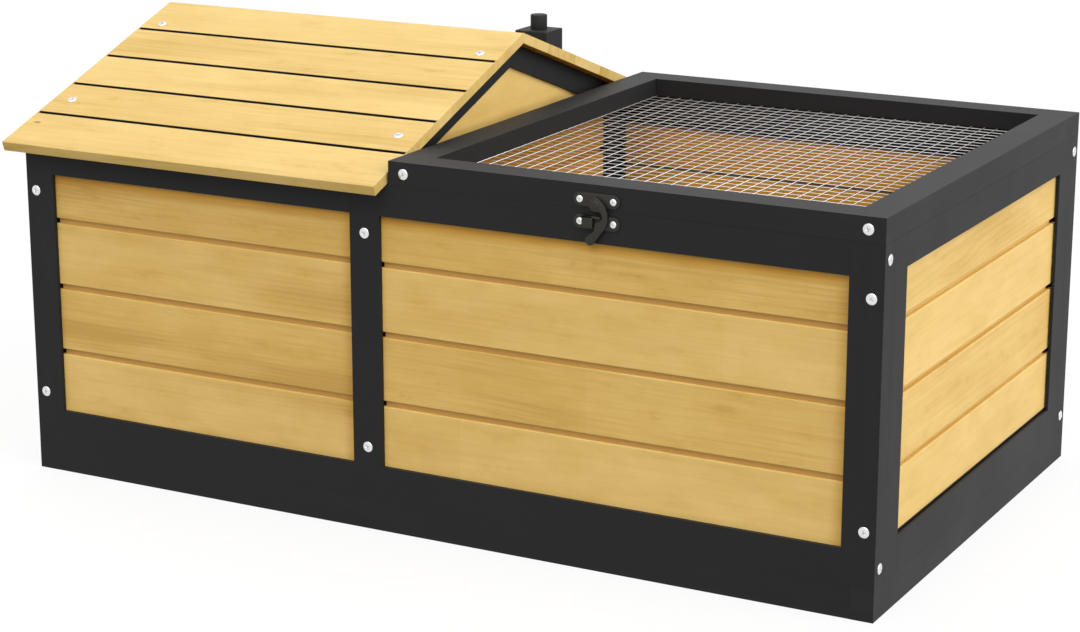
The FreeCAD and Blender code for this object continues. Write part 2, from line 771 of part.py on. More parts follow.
def make_latch():
    hook_plate = round_ended_plate(latch_x, hook_plate_z)
    catch_plate = round_ended_plate(latch_x, catch_plate_z)
    lip_top = pivot_z - catch_lip_drop
    lip_left = pivot_x - catch_lip_left
    lip_out = front_face - hook_front - catch_lip_proud
    lip_back = front_face - latch_plate_thickness
    lip_low = lip_top - catch_lip_thickness
    block_low = lip_top - catch_block_height
    lip = box(lip_left, pivot_x + catch_lip_right, lip_out, lip_back, lip_low, lip_top)
    block = box(lip_left, lip_left + catch_block_width, lip_out, lip_back, block_low, lip_top)
    catch_plate = catch_plate.fuse(lip).fuse(block).removeSplitter()
    hook = front_plate(hook_outline(), hook_back, hook_front)
    hook_hole = pivot_rod(rivet_radius + rivet_clearance, hook_back - cut_past, hook_front + cut_past)
    collar_end = hook_back - rivet_end_play
    head_start = hook_front + rivet_end_play
    rivet = pivot_rod(rivet_collar_radius, latch_plate_thickness, collar_end)
    rivet = rivet.fuse(pivot_rod(rivet_radius, collar_end, head_start))
    rivet = rivet.fuse(pivot_rod(rivet_head_radius, head_start, head_start + rivet_head_height))
    plate_holes = [rod(fitting_shank_diameter / 2 + screw_hole_clearance,
                       (seat.x, front_face + cut_past, seat.z), (0, -latch_plate_thickness - 2 * cut_past, 0))
                   for seat in hook_plate_seats + catch_plate_seats]
    parts["latch_hook_plate"] = cut_where_met(hook_plate, plate_holes)
    parts["latch_catch_plate"] = cut_where_met(catch_plate, plate_holes)
    parts["latch_hook"] = hook.cut(hook_hole)
    parts["latch_rivet"] = rivet.removeSplitter()


def make_screws():
    wall_screw = frame_screw(wall_screw_length)
    edge_screw = frame_screw(edge_screw_length)
    roof_screw = frame_screw(roof_screw_length)
    lid_screw = frame_screw(lid_screw_length)
    plate_screw = fitting_screw(fitting_screw_length)
    placed = [put_screw(wall_screw, seat, toward_outside(seat)) for seat in wall_screw_seats]
    placed += [put_screw(edge_screw, seat, toward_end(seat)) for seat in edge_screw_seats]
    parts["frame_screws"] = Part.makeCompound(placed)
    front_slope = [put_screw(roof_screw, seat, roof_out) for seat in roof_screw_seats]
    parts["roof_screws"] = Part.makeCompound(front_slope + [front_to_back(one) for one in front_slope])
    parts["lid_screws"] = Part.makeCompound(
        [put_screw(lid_screw, seat, toward_outside(seat)) for seat in lid_screw_seats])

    def on_plate(seat):
        outward = toward_outside(seat)
        thickness = latch_plate_thickness if seat.y < 0 else hinge_leaf_thickness
        return put_screw(plate_screw, seat + outward * thickness, outward)

    parts["frame_fitting_screws"] = Part.makeCompound(
        [on_plate(seat) for seat in hinge_frame_seats + catch_plate_seats])
    parts["lid_fitting_screws"] = Part.makeCompound(
        [on_plate(seat) for seat in hinge_lid_seats + hook_plate_seats])


make_plinth()
make_floor()
make_long_walls()
make_end_walls()
make_partition()
make_gable("left", left_face, 1)
make_gable("right", partition_right - run_gable_setback, -1)
make_roof()
make_chimney()
make_lid()
make_hinges()
make_latch()
make_screws()

os.makedirs("parts", exist_ok=True)
for node, shape in parts.items():
    shape.exportStep(os.path.join("parts", node + ".step"))
print(len(parts), "parts written")
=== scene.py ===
import bmesh
import bpy
import json
import math
import random
from mathutils import Matrix, Vector


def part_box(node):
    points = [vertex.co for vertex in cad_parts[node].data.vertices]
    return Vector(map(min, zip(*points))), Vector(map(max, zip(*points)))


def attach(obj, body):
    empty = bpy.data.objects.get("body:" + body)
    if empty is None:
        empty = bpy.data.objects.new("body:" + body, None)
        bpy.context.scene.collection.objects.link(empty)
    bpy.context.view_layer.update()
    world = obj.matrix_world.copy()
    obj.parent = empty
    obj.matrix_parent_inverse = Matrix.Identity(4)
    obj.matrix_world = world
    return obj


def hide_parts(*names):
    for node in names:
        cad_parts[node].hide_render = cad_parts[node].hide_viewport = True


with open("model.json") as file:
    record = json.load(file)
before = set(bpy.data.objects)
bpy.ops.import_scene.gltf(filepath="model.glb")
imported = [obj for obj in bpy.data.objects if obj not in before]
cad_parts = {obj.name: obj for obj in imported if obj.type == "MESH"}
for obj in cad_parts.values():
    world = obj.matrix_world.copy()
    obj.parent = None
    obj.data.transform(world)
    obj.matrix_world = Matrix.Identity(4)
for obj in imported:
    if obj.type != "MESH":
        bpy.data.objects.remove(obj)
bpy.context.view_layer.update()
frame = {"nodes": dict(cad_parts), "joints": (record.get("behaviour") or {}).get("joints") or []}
nodes = frame["nodes"]
mm = 0.001
tiny = 0.001 * mm  # points nearer than this are one point
xAxis, yAxis, zAxis = Vector((1, 0, 0)), Vector((0, 1, 0)), Vector((0, 0, 1))
woodShuffle = random.Random(41)  # one fixed draw for every timber's place in the tree
print("frame loaded with", len(nodes), "nodes")


# Small helpers for node trees, which are built one at a time

current = {}


def setInputs(node, inputs):
    for key, value in inputs.items():
        if isinstance(value, bpy.types.NodeSocket):
            current["tree"].links.new(value, node.inputs[key])
        else:
            node.inputs[key].default_value = value


def addNode(kind, inputs=None, **settings):
    node = current["tree"].nodes.new(kind)
    for key, value in settings.items():
        setattr(node, key, value)
    setInputs(node, inputs or {})
    return node


def mathNode(operation, first, second=0.0, third=0.0, clamp=False):
    values = {0: first, 1: second, 2: third}
    return addNode("ShaderNodeMath", values, operation=operation, use_clamp=clamp).outputs[0]


def plus(first, second):
    return mathNode("ADD", first, second)


def minus(first, second):
    return mathNode("SUBTRACT", first, second)


def times(first, second):
    return mathNode("MULTIPLY", first, second)


def timesPlus(first, factor, added):
    return mathNode("MULTIPLY_ADD", first, factor, added)


def rangeNode(value, fromLow, fromHigh, toLow=0.0, toHigh=1.0, smooth=False):
    inputs = {"Value": value, "From Min": fromLow, "From Max": fromHigh, "To Min": toLow, "To Max": toHigh}
    kind = "SMOOTHSTEP" if smooth else "LINEAR"
    return addNode("ShaderNodeMapRange", inputs, interpolation_type=kind).outputs[0]


def mixColour(share, first, second, blend="MIX"):
    colours = [(*colour, 1) if isinstance(colour, tuple) else colour for colour in (first, second)]
    inputs = {0: share, 6: colours[0], 7: colours[1]}
    return addNode("ShaderNodeMix", inputs, data_type="RGBA", blend_type=blend).outputs[2]


def noiseNode(place, scale, detail, roughness):
    inputs = {"Vector": place, "Scale": scale, "Detail": detail, "Roughness": roughness}
    return addNode("ShaderNodeTexNoise", inputs).outputs["Fac"]


def stretched(place, scale):
    return addNode("ShaderNodeVectorMath", {0: place, 1: scale}, operation="MULTIPLY").outputs[0]


def axesOf(vector):
    return addNode("ShaderNodeSeparateXYZ", {0: vector}).outputs


def vectorOf(axes):
    return addNode("ShaderNodeCombineXYZ", axes).outputs[0]


def geoNode(kind, inputs=None, **settings):
    return addNode("GeometryNode" + kind, inputs, **settings).outputs[0]


def named(label, kind="FLOAT"):
    return geoNode("InputNamedAttribute", {"Name": label}, data_type=kind)


def addSocket(label, kind, way):
    current["tree"].interface.new_socket(label, in_out=way, socket_type="NodeSocket" + kind)


def openGroup(name, kind, **inputs):
    current["tree"] = bpy.data.node_groups.new(name, kind)
    for socket, labels in inputs.items():
        for label in labels:
            addSocket(label, socket, "INPUT")
    return addNode("NodeGroupInput").outputs


def closeGroup(socket, outputs):
    for label in outputs:
        addSocket(label, socket, "OUTPUT")
    addNode("NodeGroupOutput", outputs)
    return current["tree"]


def closeMesh(mesh, finish):
    mesh = geoNode("SetMaterial", {"Geometry": mesh, "Material": finish})
    return closeGroup("Geometry", {"Mesh": mesh})


# Shared surface effects

grainLook = {
    "patterns": {  # stretch along, across and through the board, detail, roughness
        "patches": ((2.6, 20, 12), 2.0, 0.5),
        "wander": ((1.5, 9, 6), 1.0, 0.5),
        "streaks": ((3.0, 170, 90), 4.0, 0.65),
        "fibres": ((22, 620, 400), 3.0, 0.6),
        "blotches": ((24, 60, 45), 3.0, 0.6),
        "clouds": ((8, 22, 16), 2.0, 0.55),
    },
    "figure": {  # low and high of a pattern, the late wood there, eased or not
        "patches": (0.52, 0.76, 0.0, 0.75, True),
        "streaks": (0.4, 0.8, 0.0, 0.42, True),
        "fibres": (0.4, 0.7, 0.0, 0.2, False),
        "blotches": (0.6, 0.74, 0.0, 0.4, True),
    },
    "shade": {"blotches": (0.34, 0.66, -0.11, 0.235), "clouds": (0.34, 0.66, -0.14, 0.265)},
    "knotCells": (6.5, 17, 14), "knotHeart": (0.04, 0.012), "knotHalo": (0.5, 0.04), "knotFigure": 0.12,
    "ringWander": 14.0, "ringBend": 1.4, "ringRise": 2.2, "ringFall": (1.0, 0.9),
    "ringShows": (0.46, 0.7, 0.04, 0.55),
    "plankDeal": 37.0, "plankShade": 0.25, "toneShade": 0.5, "toneFigure": (1.15, 0.4),
    "fibreHeight": 0.4, "figureHeight": 0.6,
}


def makeWoodGrain(look):
    given = openGroup("woodGrain", "ShaderNodeTree", Vector=["Place"],
                      Float=["Tone", "Ring Width", "Knot Share", "Joint Length"])
    place, tone = given["Place"], given["Tone"]
    along, across, _ = axesOf(place)
    noise = {name: noiseNode(stretched(place, scale), 1.0, detail, roughness)
             for name, (scale, detail, roughness) in look["patterns"].items()}

    # Knots: one cell in a few holds one, drawn out along the board
    cells = addNode("ShaderNodeTexVoronoi", {"Vector": stretched(place, look["knotCells"]), "Scale": 1.0}).outputs
    pick = addNode("ShaderNodeSeparateColor", {0: cells["Color"]}).outputs[0]
    chosen = mathNode("LESS_THAN", pick, given["Knot Share"])
    knot, bend = [times(rangeNode(cells["Distance"], *look[part], smooth=True), chosen)
                  for part in ("knotHeart", "knotHalo")]

    # Year rings: fine lines that wander along the board, bend round the knots and show only in places
    phase = timesPlus(noise["wander"], look["ringWander"], mathNode("DIVIDE", across, given["Ring Width"]))
    saw = mathNode("FRACT", timesPlus(bend, look["ringBend"], phase))
    ring = times(mathNode("POWER", saw, look["ringRise"]), rangeNode(saw, *look["ringFall"]))
    figure = times(ring, rangeNode(noise["patches"], *look["ringShows"], smooth=True))

    # Lengths glued end to end, each cut from another plank
    piece = mathNode("FLOOR", plus(mathNode("DIVIDE", along, given["Joint Length"]), tone))
    plank = addNode("ShaderNodeTexWhiteNoise", {"W": timesPlus(tone, look["plankDeal"], piece)},
                    noise_dimensions="1D").outputs["Value"]
    shade = timesPlus(plank, look["plankShade"], times(tone, look["toneShade"]))
    for name, limits in look["shade"].items():
        shade = plus(rangeNode(noise[name], *limits), shade)

    # Figure: rings, dark lenses of late wood, streaks, fibres and smudges
    for name, limits in look["figure"].items():
        figure = plus(rangeNode(noise[name], *limits), figure)
    figure = times(figure, timesPlus(tone, *look["toneFigure"]))
    figure = mathNode("MULTIPLY_ADD", bend, look["knotFigure"], figure, clamp=True)
    height = timesPlus(noise["fibres"], look["fibreHeight"], times(figure, look["figureHeight"]))
    return closeGroup("Float", {"Figure": figure, "Knot": knot, "Shade": shade, "Height": height})


handlingLook = {"cloudNoise": (3.0, 0.5), "speckleNoise": (2.0, 0.6),  # detail, roughness
                "dustSlope": (0.2, 1.0), "dustClouds": (0.3, 0.75)}


def makeHandling(look):
    given = openGroup("handling", "ShaderNodeTree", Vector=["Place"], Float=["Cloud Size", "Speckle Size"])
    clouds, speckle = [noiseNode(given["Place"], mathNode("DIVIDE", 1.0, given[size]), *look[noise])
                       for size, noise in (("Cloud Size", "cloudNoise"), ("Speckle Size", "speckleNoise"))]
    facing = axesOf(addNode("ShaderNodeTexCoord").outputs["Normal"])["Z"]
    # Upward faces lighter in cloudy patches: a dusting, and painted light for the brighter tops of the paint.
    dust = times(rangeNode(facing, *look["dustSlope"]), rangeNode(clouds, *look["dustClouds"]))
    return closeGroup("Float", {"Clouds": clouds, "Speckle": speckle, "Dust": dust})


woodGrain = makeWoodGrain(grainLook)
handling = makeHandling(handlingLook)
print("surface effects ready")


# Finishes

def newFinish(name):
    material = bpy.data.materials.new(name)
    material.use_nodes = True
    current["tree"] = material.node_tree
    return material


def attributeNode(name, output="Fac"):
    return addNode("ShaderNodeAttribute", attribute_name=name).outputs[output]


def grainOf(look):
    values = {"Place": attributeNode("grainPlace", "Vector"), "Tone": attributeNode("boardTone"),
              "Ring Width": look["ringWidth"], "Knot Share": look["knotShare"],
              "Joint Length": look["jointLength"]}
    return addNode("ShaderNodeGroup", values, node_tree=woodGrain).outputs


def marksOf(look):
    spots = addNode("ShaderNodeTexCoord").outputs["Object"]
    values = {"Place": spots, "Cloud Size": look["cloudSize"], "Speckle Size": look["speckleSize"]}
    return addNode("ShaderNodeGroup", values, node_tree=handling).outputs


def dressSurface(look, colour, rough, height, metal=0.0):
    normal = addNode("ShaderNodeBump", {"Height": height, "Distance": look["bumpDepth"]}).outputs["Normal"]
    setInputs(current["tree"].nodes["Principled BSDF"],
              {"Base Color": colour, "Roughness": rough, "Normal": normal, "Metallic": metal,
               "Specular IOR Level": look["shine"]})


def layered(look, base, layers):
    colour = look[base]
    for name, share in layers.items():
        colour = mixColour(share, colour, look[name])
    return colour


def makePine(name, look):
    material = newFinish(name)
    # The wall grooves take a darker brownish colour as painted shade, where their floors lie in shade. Amounts
    # from half on go to the darkest colour: the roof's own joint colour, and painted shade elsewhere.
    grain, stainAndShade = grainOf(look), attributeNode("gapStain")
    colour = layered(look, "paleWood", {
        "warmWood": grain["Shade"], "lateWood": grain["Figure"], "knotWood": grain["Knot"],
        "gapBrown": rangeNode(stainAndShade, 0.0, 0.5), "gapBlack": rangeNode(stainAndShade, 0.5, 1.0)})  # darkest from half on: the roof's own dark joints, and painted shade in wall notches, foot lines and inner seams
    # Painted shade: the colour is multiplied darker and more orange under the top rails, at the right ends, on
    # inner faces and on the partition's face in the run.
    colour = mixColour(attributeNode("innerTint"), colour, look["innerTint"], "MULTIPLY")
    rough = rangeNode(grain["Figure"], 0.0, 1.0, *look["rough"])
    dressSurface(look, colour, rough, grain["Height"])
    return material


def makeBlackTimber(name, look):
    material = newFinish(name)
    grain, marks = grainOf(look), marksOf(look)
    # The paint is lightened on upward faces, partly as a dusting and partly as painted light; the marked inner
    # faces take a darker colour as painted shade.
    colour = layered(look, "paint", {
        "thinPaint": marks["Clouds"], "grainPaint": times(grain["Figure"], look["grainShows"]),
        "dust": times(marks["Dust"], look["dustShare"]), "insidePaint": attributeNode("insideShade")})
    rough = rangeNode(marks["Clouds"], *look["roughMarks"], *look["rough"])
    height = timesPlus(marks["Speckle"], look["speckleShare"], grain["Height"])
    dressSurface(look, colour, rough, height)
    return material


def makeMetal(name, look):
    material = newFinish(name)
    marks = marksOf(look)
    colour = layered(look, "bright", {"dull": marks["Clouds"], "slotGrime": attributeNode("slotShade")})
    rough = rangeNode(marks["Speckle"], *look["roughMarks"], *look["rough"])
    dressSurface(look, colour, rough, marks["Speckle"], look["metal"])
    return material


pineLook = {
    "paleWood": (0.82, 0.566, 0.188), "warmWood": (0.665, 0.412, 0.095), "lateWood": (0.57, 0.34, 0.078),
    # the groove colour and the orange multiplier below are painted shade; the darkest joint colour is the roof's
    # own and painted shade in the walls
    "knotWood": (0.3, 0.15, 0.035), "innerTint": (0.82, 0.63, 0.2), "gapBrown": (0.61, 0.365, 0.095),
    "gapBlack": (0.004, 0.004, 0.0045), "ringWidth": 6 * mm, "knotShare": 0.1, "jointLength": 420 * mm,
    "rough": (0.5, 0.62), "bumpDepth": 0.12 * mm, "shine": 0.42,
}
# The roof takes a darker copy of the wall pine: painted shade that offsets the stronger light falling on it from
# above.
roofShadedLook = dict(pineLook, paleWood=(0.74, 0.527, 0.188), warmWood=(0.63, 0.42, 0.118), lateWood=(0.48, 0.3, 0.052))
plyLook = dict(pineLook, paleWood=(0.62, 0.46, 0.28), warmWood=(0.55, 0.39, 0.22), lateWood=(0.44, 0.29, 0.14),
               knotShare=0.05, ringWidth=30 * mm, jointLength=2000 * mm)
blackLook = {
    "paint": (0.0135, 0.0135, 0.014), "thinPaint": (0.0185, 0.0185, 0.019), "grainPaint": (0.026, 0.026, 0.0265),
    "insidePaint": (0.0035, 0.0035, 0.0035), "dust": (0.12, 0.12, 0.12), "dustShare": 0.12, "grainShows": 0.35,
    "ringWidth": 14 * mm, "knotShare": 0.08, "jointLength": 3000 * mm, "cloudSize": 90 * mm,
    "speckleSize": 1.6 * mm, "speckleShare": 0.3, "roughMarks": (0.25, 0.75), "rough": (0.5, 0.6),
    "bumpDepth": 0.1 * mm, "shine": 0.14,
}
zincLook = {
    # the slot colour is painted shade in the screw's slot
    "bright": (0.82, 0.82, 0.835), "dull": (0.7, 0.7, 0.715), "slotGrime": (0.52, 0.52, 0.53), "metal": 0.85,
    "roughMarks": (0.25, 0.75), "rough": (0.18, 0.28), "cloudSize": 4 * mm, "speckleSize": 0.6 * mm,
    "bumpDepth": 0.03 * mm, "shine": 0.5,
}
wireLook = dict(zincLook, bright=(0.88, 0.88, 0.89), dull=(0.76, 0.76, 0.77), metal=0.3, rough=(0.32, 0.45),
                cloudSize=20 * mm)
bronzeLook = {
    "bright": (0.028, 0.0265, 0.0195), "dull": (0.019, 0.018, 0.0135), "slotGrime": (0.01, 0.01, 0.01),
    "metal": 0.25, "roughMarks": (0.25, 0.75), "rough": (0.42, 0.58), "cloudSize": 12 * mm,
    "speckleSize": 0.7 * mm, "bumpDepth": 0.04 * mm, "shine": 0.35,
}
hingeLook = dict(bronzeLook, bright=(0.032, 0.032, 0.033), dull=(0.022, 0.022, 0.023), rough=(0.36, 0.58))

pine = makePine("oiledPine", pineLook)
roofShadedPine = makePine("oiledRoofPine", roofShadedLook)
plywood = makePine("floorPly", plyLook)
blackTimber = makeBlackTimber("blackPaintedTimber", blackLook)
zinc = makeMetal("brightZinc", zincLook)
galvanised = makeMetal("galvanisedWire", wireLook)
bronze = makeMetal("latchBronze", bronzeLook)
hingeBlack = makeMetal("hingeBlack", hingeLook)
print("finishes ready")


# Reading the frame: every solid of a node on its own

def solidsOf(node):
    shape = bmesh.new()
    shape.from_mesh(nodes[node].data)
    bmesh.ops.remove_doubles(shape, verts=shape.verts, dist=tiny)
    seen, solids = set(), []
    for first in shape.verts:
        if first in seen:
            continue
        seen.add(first)
        waiting, points = [first], []
        while waiting:
            vertex = waiting.pop()
            points.append(vertex.co.copy())
            beside = {edge.other_vert(vertex) for edge in vertex.link_edges} - seen
            seen |= beside
            waiting += beside
        solids.append(points)
    shape.free()
    return solids


def boxOf(points):
    return [Vector([limit(point[axis] for point in points) for axis in range(3)]) for limit in (min, max)]


# Keeping a finished piece: it rides on its body and stands for its node

def pieceName(node):
    words = node.split("_")
    return words[0] + "".join(word.capitalize() for word in words[1:])


def newObject(name, data):
    made = bpy.data.objects.new(name, data)
    bpy.context.scene.collection.objects.link(made)
    return made


def meshObject(name, shape):
    bmesh.ops.recalc_face_normals(shape, faces=shape.faces)
    mesh = bpy.data.meshes.new(name)
    shape.to_mesh(mesh)
    shape.free()
    return newObject(name, mesh)


def keepObject(piece, body, node):
    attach(piece, body)
    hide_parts(node)
    return piece


def keepPiece(name, shape, material, body, node):
    piece = meshObject(name, shape)
    piece.data.materials.append(material)
    return keepObject(piece, body, node)


def smoothOver(piece, angle):
    piece.data.polygons.foreach_set("use_smooth", [True] * len(piece.data.polygons))
    piece.data.set_sharp_from_angle(angle=math.radians(angle))


def freezeModifiers(piece):
    depsgraph = bpy.context.evaluated_depsgraph_get()
    mesh = bpy.data.meshes.new_from_object(piece.evaluated_get(depsgraph), preserve_all_data_layers=True,
                                           depsgraph=depsgraph)
    piece.modifiers.clear()
    piece.data = mesh
    mesh.name = piece.name


def growTree(piece, tree, values):
    modifier = piece.modifiers.new(tree.name, "NODES")
    modifier.node_group = tree
    for item in tree.interface.items_tree:
        if item.in_out == "INPUT" and item.name in values:
            modifier[item.identifier] = values[item.name]
    freezeModifiers(piece)
    return piece


# Timber shapes: an outline drawn along a line, with every outer edge eased

timberLook = {
    "leastTurn": math.radians(20),  # corners that turn less stay as they are
    "cornerRoom": 0.45, "closeReach": 1.01,
    "ends": ((0.0, 0.8), (0.25, 0.25), (0.8, 0.0)),  # shares of the ease: along the piece, and in from its side
    "grainSpread": 20.0,
}


def emptyTimber():
    shape = bmesh.new()
    shape.verts.layers.float_vector.new("grainPlace")
    shape.verts.layers.float.new("boardTone")
    return shape


def cornersOf(outline):
    for index, point in enumerate(outline):
        arriving, leaving = point - outline[index - 1], outline[(index + 1) % len(outline)] - point
        yield point, arriving.normalized(), leaving.normalized(), min(arriving.length, leaving.length)


def easeCorners(outline, ease):
    eased = []
    for point, arriving, leaving, reach in cornersOf(outline):
        turn = math.atan2(arriving.cross(leaving), arriving.dot(leaving))
        if turn < timberLook["leastTurn"]:
            eased.append(point)
            continue
        cut = min(ease * math.tan(turn / 2), timberLook["cornerRoom"] * reach)
        radius = cut / math.tan(turn / 2)
        inward = (leaving - arriving).normalized()
        eased += [point - arriving * cut, point + inward * (radius / math.cos(turn / 2) - radius),
                  point + leaving * cut]
    return eased


def insetOutline(outline, depth):
    moved = []
    for point, arriving, leaving, _ in cornersOf(outline):
        first, second = arriving.orthogonal(), leaving.orthogonal()
        moved.append(point + (first + second) * (depth / (1 + first.dot(second))))
    return moved


def closedPoint(point, cut, ease):
    inner, outer = cut
    room = timberLook["closeReach"] * ease
    moved = point.copy()
    if all(min(ends) - room <= value <= max(ends) + room for value, *ends in zip(point, inner, outer)):
        for axis in range(2):
            if abs(point[axis] - inner[axis]) < room:
                moved[1 - axis] = outer[1 - axis]
    return moved


def easedPrism(shape, outline, start, end, axes, ease, grain, stop=None, tone=None):
    across, up, along = axes
    section = easeCorners(outline, ease)
    if stop:  # the rebate keeps clear of both ends
        whole = [closedPoint(point, stop["cut"], ease) for point in section]
        levels = [(start, whole), (stop["from"], whole), (stop["from"], section), (stop["to"], section),
                  (stop["to"], whole), (end, whole)]
    else:
        ends = [(reach * ease, insetOutline(section, inset * ease)) for reach, inset in timberLook["ends"]]
        levels = [(start + reach, points) for reach, points in ends]
        levels += [(end - reach, points) for reach, points in reversed(ends)]
    placeLayer = shape.verts.layers.float_vector["grainPlace"]
    toneLayer = shape.verts.layers.float["boardTone"]
    tone = woodShuffle.random() if tone is None else tone
    shift = Vector([woodShuffle.uniform(0, timberLook["grainSpread"]) for _ in range(3)])
    grainSide = grain.cross(xAxis if abs(grain.x) < 0.5 else zAxis).normalized()
    grainFace = grain.cross(grainSide)
    rings = []
    for level, points in levels:
        ring = []
        for u, v in points:
            place = across * u + up * v + along * level
            if rings and (rings[-1][len(ring)].co - place).length < tiny:
                ring.append(rings[-1][len(ring)])
                continue
            vertex = shape.verts.new(place)
            vertex[placeLayer] = Vector([vertex.co.dot(way) for way in (grain, grainSide, grainFace)]) + shift
            vertex[toneLayer] = tone
            ring.append(vertex)
        rings.append(ring)
    shape.faces.new(reversed(rings[0]))
    shape.faces.new(rings[-1])
    for lower, upper in zip(rings, rings[1:]):
        for index in range(len(lower)):
            after = (index + 1) % len(lower)
            corners = list(dict.fromkeys((lower[index], lower[after], upper[after], upper[index])))
            if len(corners) > 2:
                shape.faces.new(corners)


def prismPiece(node, outline, start, end, axes, ease, grain, material, tone=None):
    shape = emptyTimber()
    easedPrism(shape, [Vector(corner) for corner in outline], start, end, axes, ease, grain, tone=tone)
    return keepPiece(pieceName(node), shape, material, "house", node)


# Bars of the frames: a rectangle less the grooves that the boards and the floor sit in

barLook = {"ease": 0.15 * mm, "grooveRoom": 0.2 * mm, "endGrooveRoom": 1.6 * mm, "leastMeeting": 1.0 * mm}


def barSection(size, cuts):
    us, vs = [sorted({0.0, size[axis], *(cut[axis] for cut in cuts), *(cut[axis + 2] for cut in cuts)})
              for axis in range(2)]
    cells = {(i, j) for i in range(len(us) - 1) for j in range(len(vs) - 1)
             if not any(cut[0] <= us[i] < cut[2] and cut[1] <= vs[j] < cut[3] for cut in cuts)}
    follows = {}
    for i, j in cells:  # sides with no cell beyond them make the outline
        corners = ((i, j), (i + 1, j), (i + 1, j + 1), (i, j + 1))
        for side, beyond in enumerate(((i, j - 1), (i + 1, j), (i, j + 1), (i - 1, j))):
            if beyond not in cells:
                follows[corners[side]] = corners[(side + 1) % 4]
    loop = [min(follows)]
    while follows[loop[-1]] != loop[0]:
        loop.append(follows[loop[-1]])
    outline = [Vector((us[i], vs[j])) for i, j in loop]
    return [point for point, arriving, leaving, _ in cornersOf(outline) if abs(arriving.cross(leaving)) > 0.5]


def grooveCuts(low, size, across, up, neighbours, room):
    cuts = set()
    for otherLow, otherHigh in neighbours:
        starts = [max(otherLow[axis] - low[axis], 0.0) for axis in range(3)]
        ends = [min(otherHigh[axis] - low[axis], size[axis]) for axis in range(3)]
        if min(end - start for start, end in zip(starts, ends)) < barLook["leastMeeting"]:
            continue
        begin = [max(round(starts[axis] - room, 5), 0.0) for axis in (across, up)]
        finish = [min(round(ends[axis] + room, 5), size[axis]) for axis in (across, up)]
        cuts.add((*begin, *finish))
    return sorted(cuts)


def stoppedCut(low, size, across, up, along, cuts, neighbours, room):
    if len(cuts) != 1:
        return None
    cut = cuts[0]
    sides = [(cut[axis], cut[axis + 2], size[(across, up)[axis]]) for axis in range(2)]
    if not all(first == 0 or last == whole for first, last, whole in sides):
        return None
    inner = [last if first == 0 else first for first, last, _ in sides]
    outer = [first if first == 0 else last for first, last, _ in sides]
    corner = Vector((low[across], low[up]))
    meeting = [box for box in neighbours if grooveCuts(low, size, across, up, [box], room)]
    first, last = min(box[0][along] for box in meeting) - room, max(box[1][along] for box in meeting) + room
    if first < low[along] + barLook["leastMeeting"] or last > low[along] + size[along] - barLook["leastMeeting"]:
        return None
    return {"cut": (corner + Vector(inner), corner + Vector(outer)), "from": first, "to": last}


def makeBars(node, body, neighbours, room, bottom=None):
    shape = emptyTimber()
    for points in solidsOf(node):
        low, high = boxOf(points)
        low.z = low.z if bottom is None else bottom
        size = [round(side, 6) for side in high - low]
        along = size.index(max(size))
        across, up = (along + 1) % 3, (along + 2) % 3
        cuts = grooveCuts(low, size, across, up, neighbours, room)
        outline = [point + Vector((low[across], low[up])) for point in barSection((size[across], size[up]), cuts)]
        axes = [(xAxis, yAxis, zAxis)[axis] for axis in (across, up, along)]
        easedPrism(shape, outline, low[along], high[along], axes, barLook["ease"], axes[2],
                   stoppedCut(low, size, across, up, along, cuts, neighbours, room))
    return keepPiece(pieceName(node), shape, blackTimber, body, node)


# Painted shade: the half of a bar towards the run is marked for a darker colour.
def shadeInside(bar):
    middle = sum(vertex.co.y for vertex in bar.data.vertices) / len(bar.data.vertices)
    shade = bar.data.attributes.new("insideShade", "FLOAT", "POINT")
    shade.data.foreach_set("value", [float(vertex.co.y < middle) for vertex in bar.data.vertices])


boardNodes = [node for node in sorted(nodes) if node.endswith("_boards") and "roof" not in node]
boardBoxes = [boxOf(points) for node in boardNodes for points in solidsOf(node)]
wallBars = ["left_stile", "middle_stile", "right_stile", "bottom_rail", "house_top_rail", "run_top_rail"]
endBars = ["front_stile", "back_stile", "bottom_rail", "top_rail"]
barNodes = ["plinth_" + side + "_board" for side in ("front", "back", "left", "right")]
barNodes += [wall + "_" + bar for wall in ("front", "back") for bar in wallBars]
barNodes += [end + "_end_" + bar for end in ("left", "right") for bar in endBars]
barNodes += ["partition_uprights", "partition_door_rail"]
for node in barNodes:
    room = barLook["endGrooveRoom" if "_end_" in node else "grooveRoom"]
    bar = makeBars(node, "house", boardBoxes + [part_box("floor_panel")], room)
    if node in ("back_run_top_rail", "back_middle_stile"):
        shadeInside(bar)  # painted shade: the face in the run is darkened, as it lies in the shade of the mesh
print("frame bars made:", len(barNodes))


# Lid rails, with the rebate under them that holds the mesh

lidLook = {"rebateWidth": 8 * mm, "rebateDepth": 4 * mm, "seatGap": 0.1 * mm}
lidSides = ("front", "back", "left", "right")
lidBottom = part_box("lid_front_rail")[0].z
lidOpening = (Vector((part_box("lid_left_rail")[1].x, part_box("lid_front_rail")[1].y, lidBottom)),
              Vector((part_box("lid_right_rail")[0].x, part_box("lid_back_rail")[0].y, lidBottom)))
rebateSpread = Vector((lidLook["rebateWidth"], lidLook["rebateWidth"], 0))
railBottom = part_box("front_run_top_rail")[1].z + lidLook["seatGap"]
rebateBox = (Vector((*(lidOpening[0] - rebateSpread).xy, railBottom)),
             lidOpening[1] + rebateSpread + zAxis * (lidLook["rebateDepth"] - barLook["grooveRoom"]))
for side in lidSides:
    makeBars("lid_" + side + "_rail", "lid", [rebateBox], barLook["grooveRoom"], railBottom)
print("lid rails made:", len(lidSides))


# Gables, chimney and floor

sideView, topView = (yAxis, zAxis, xAxis), (xAxis, yAxis, zAxis)  # across and up an outline, and along the piece
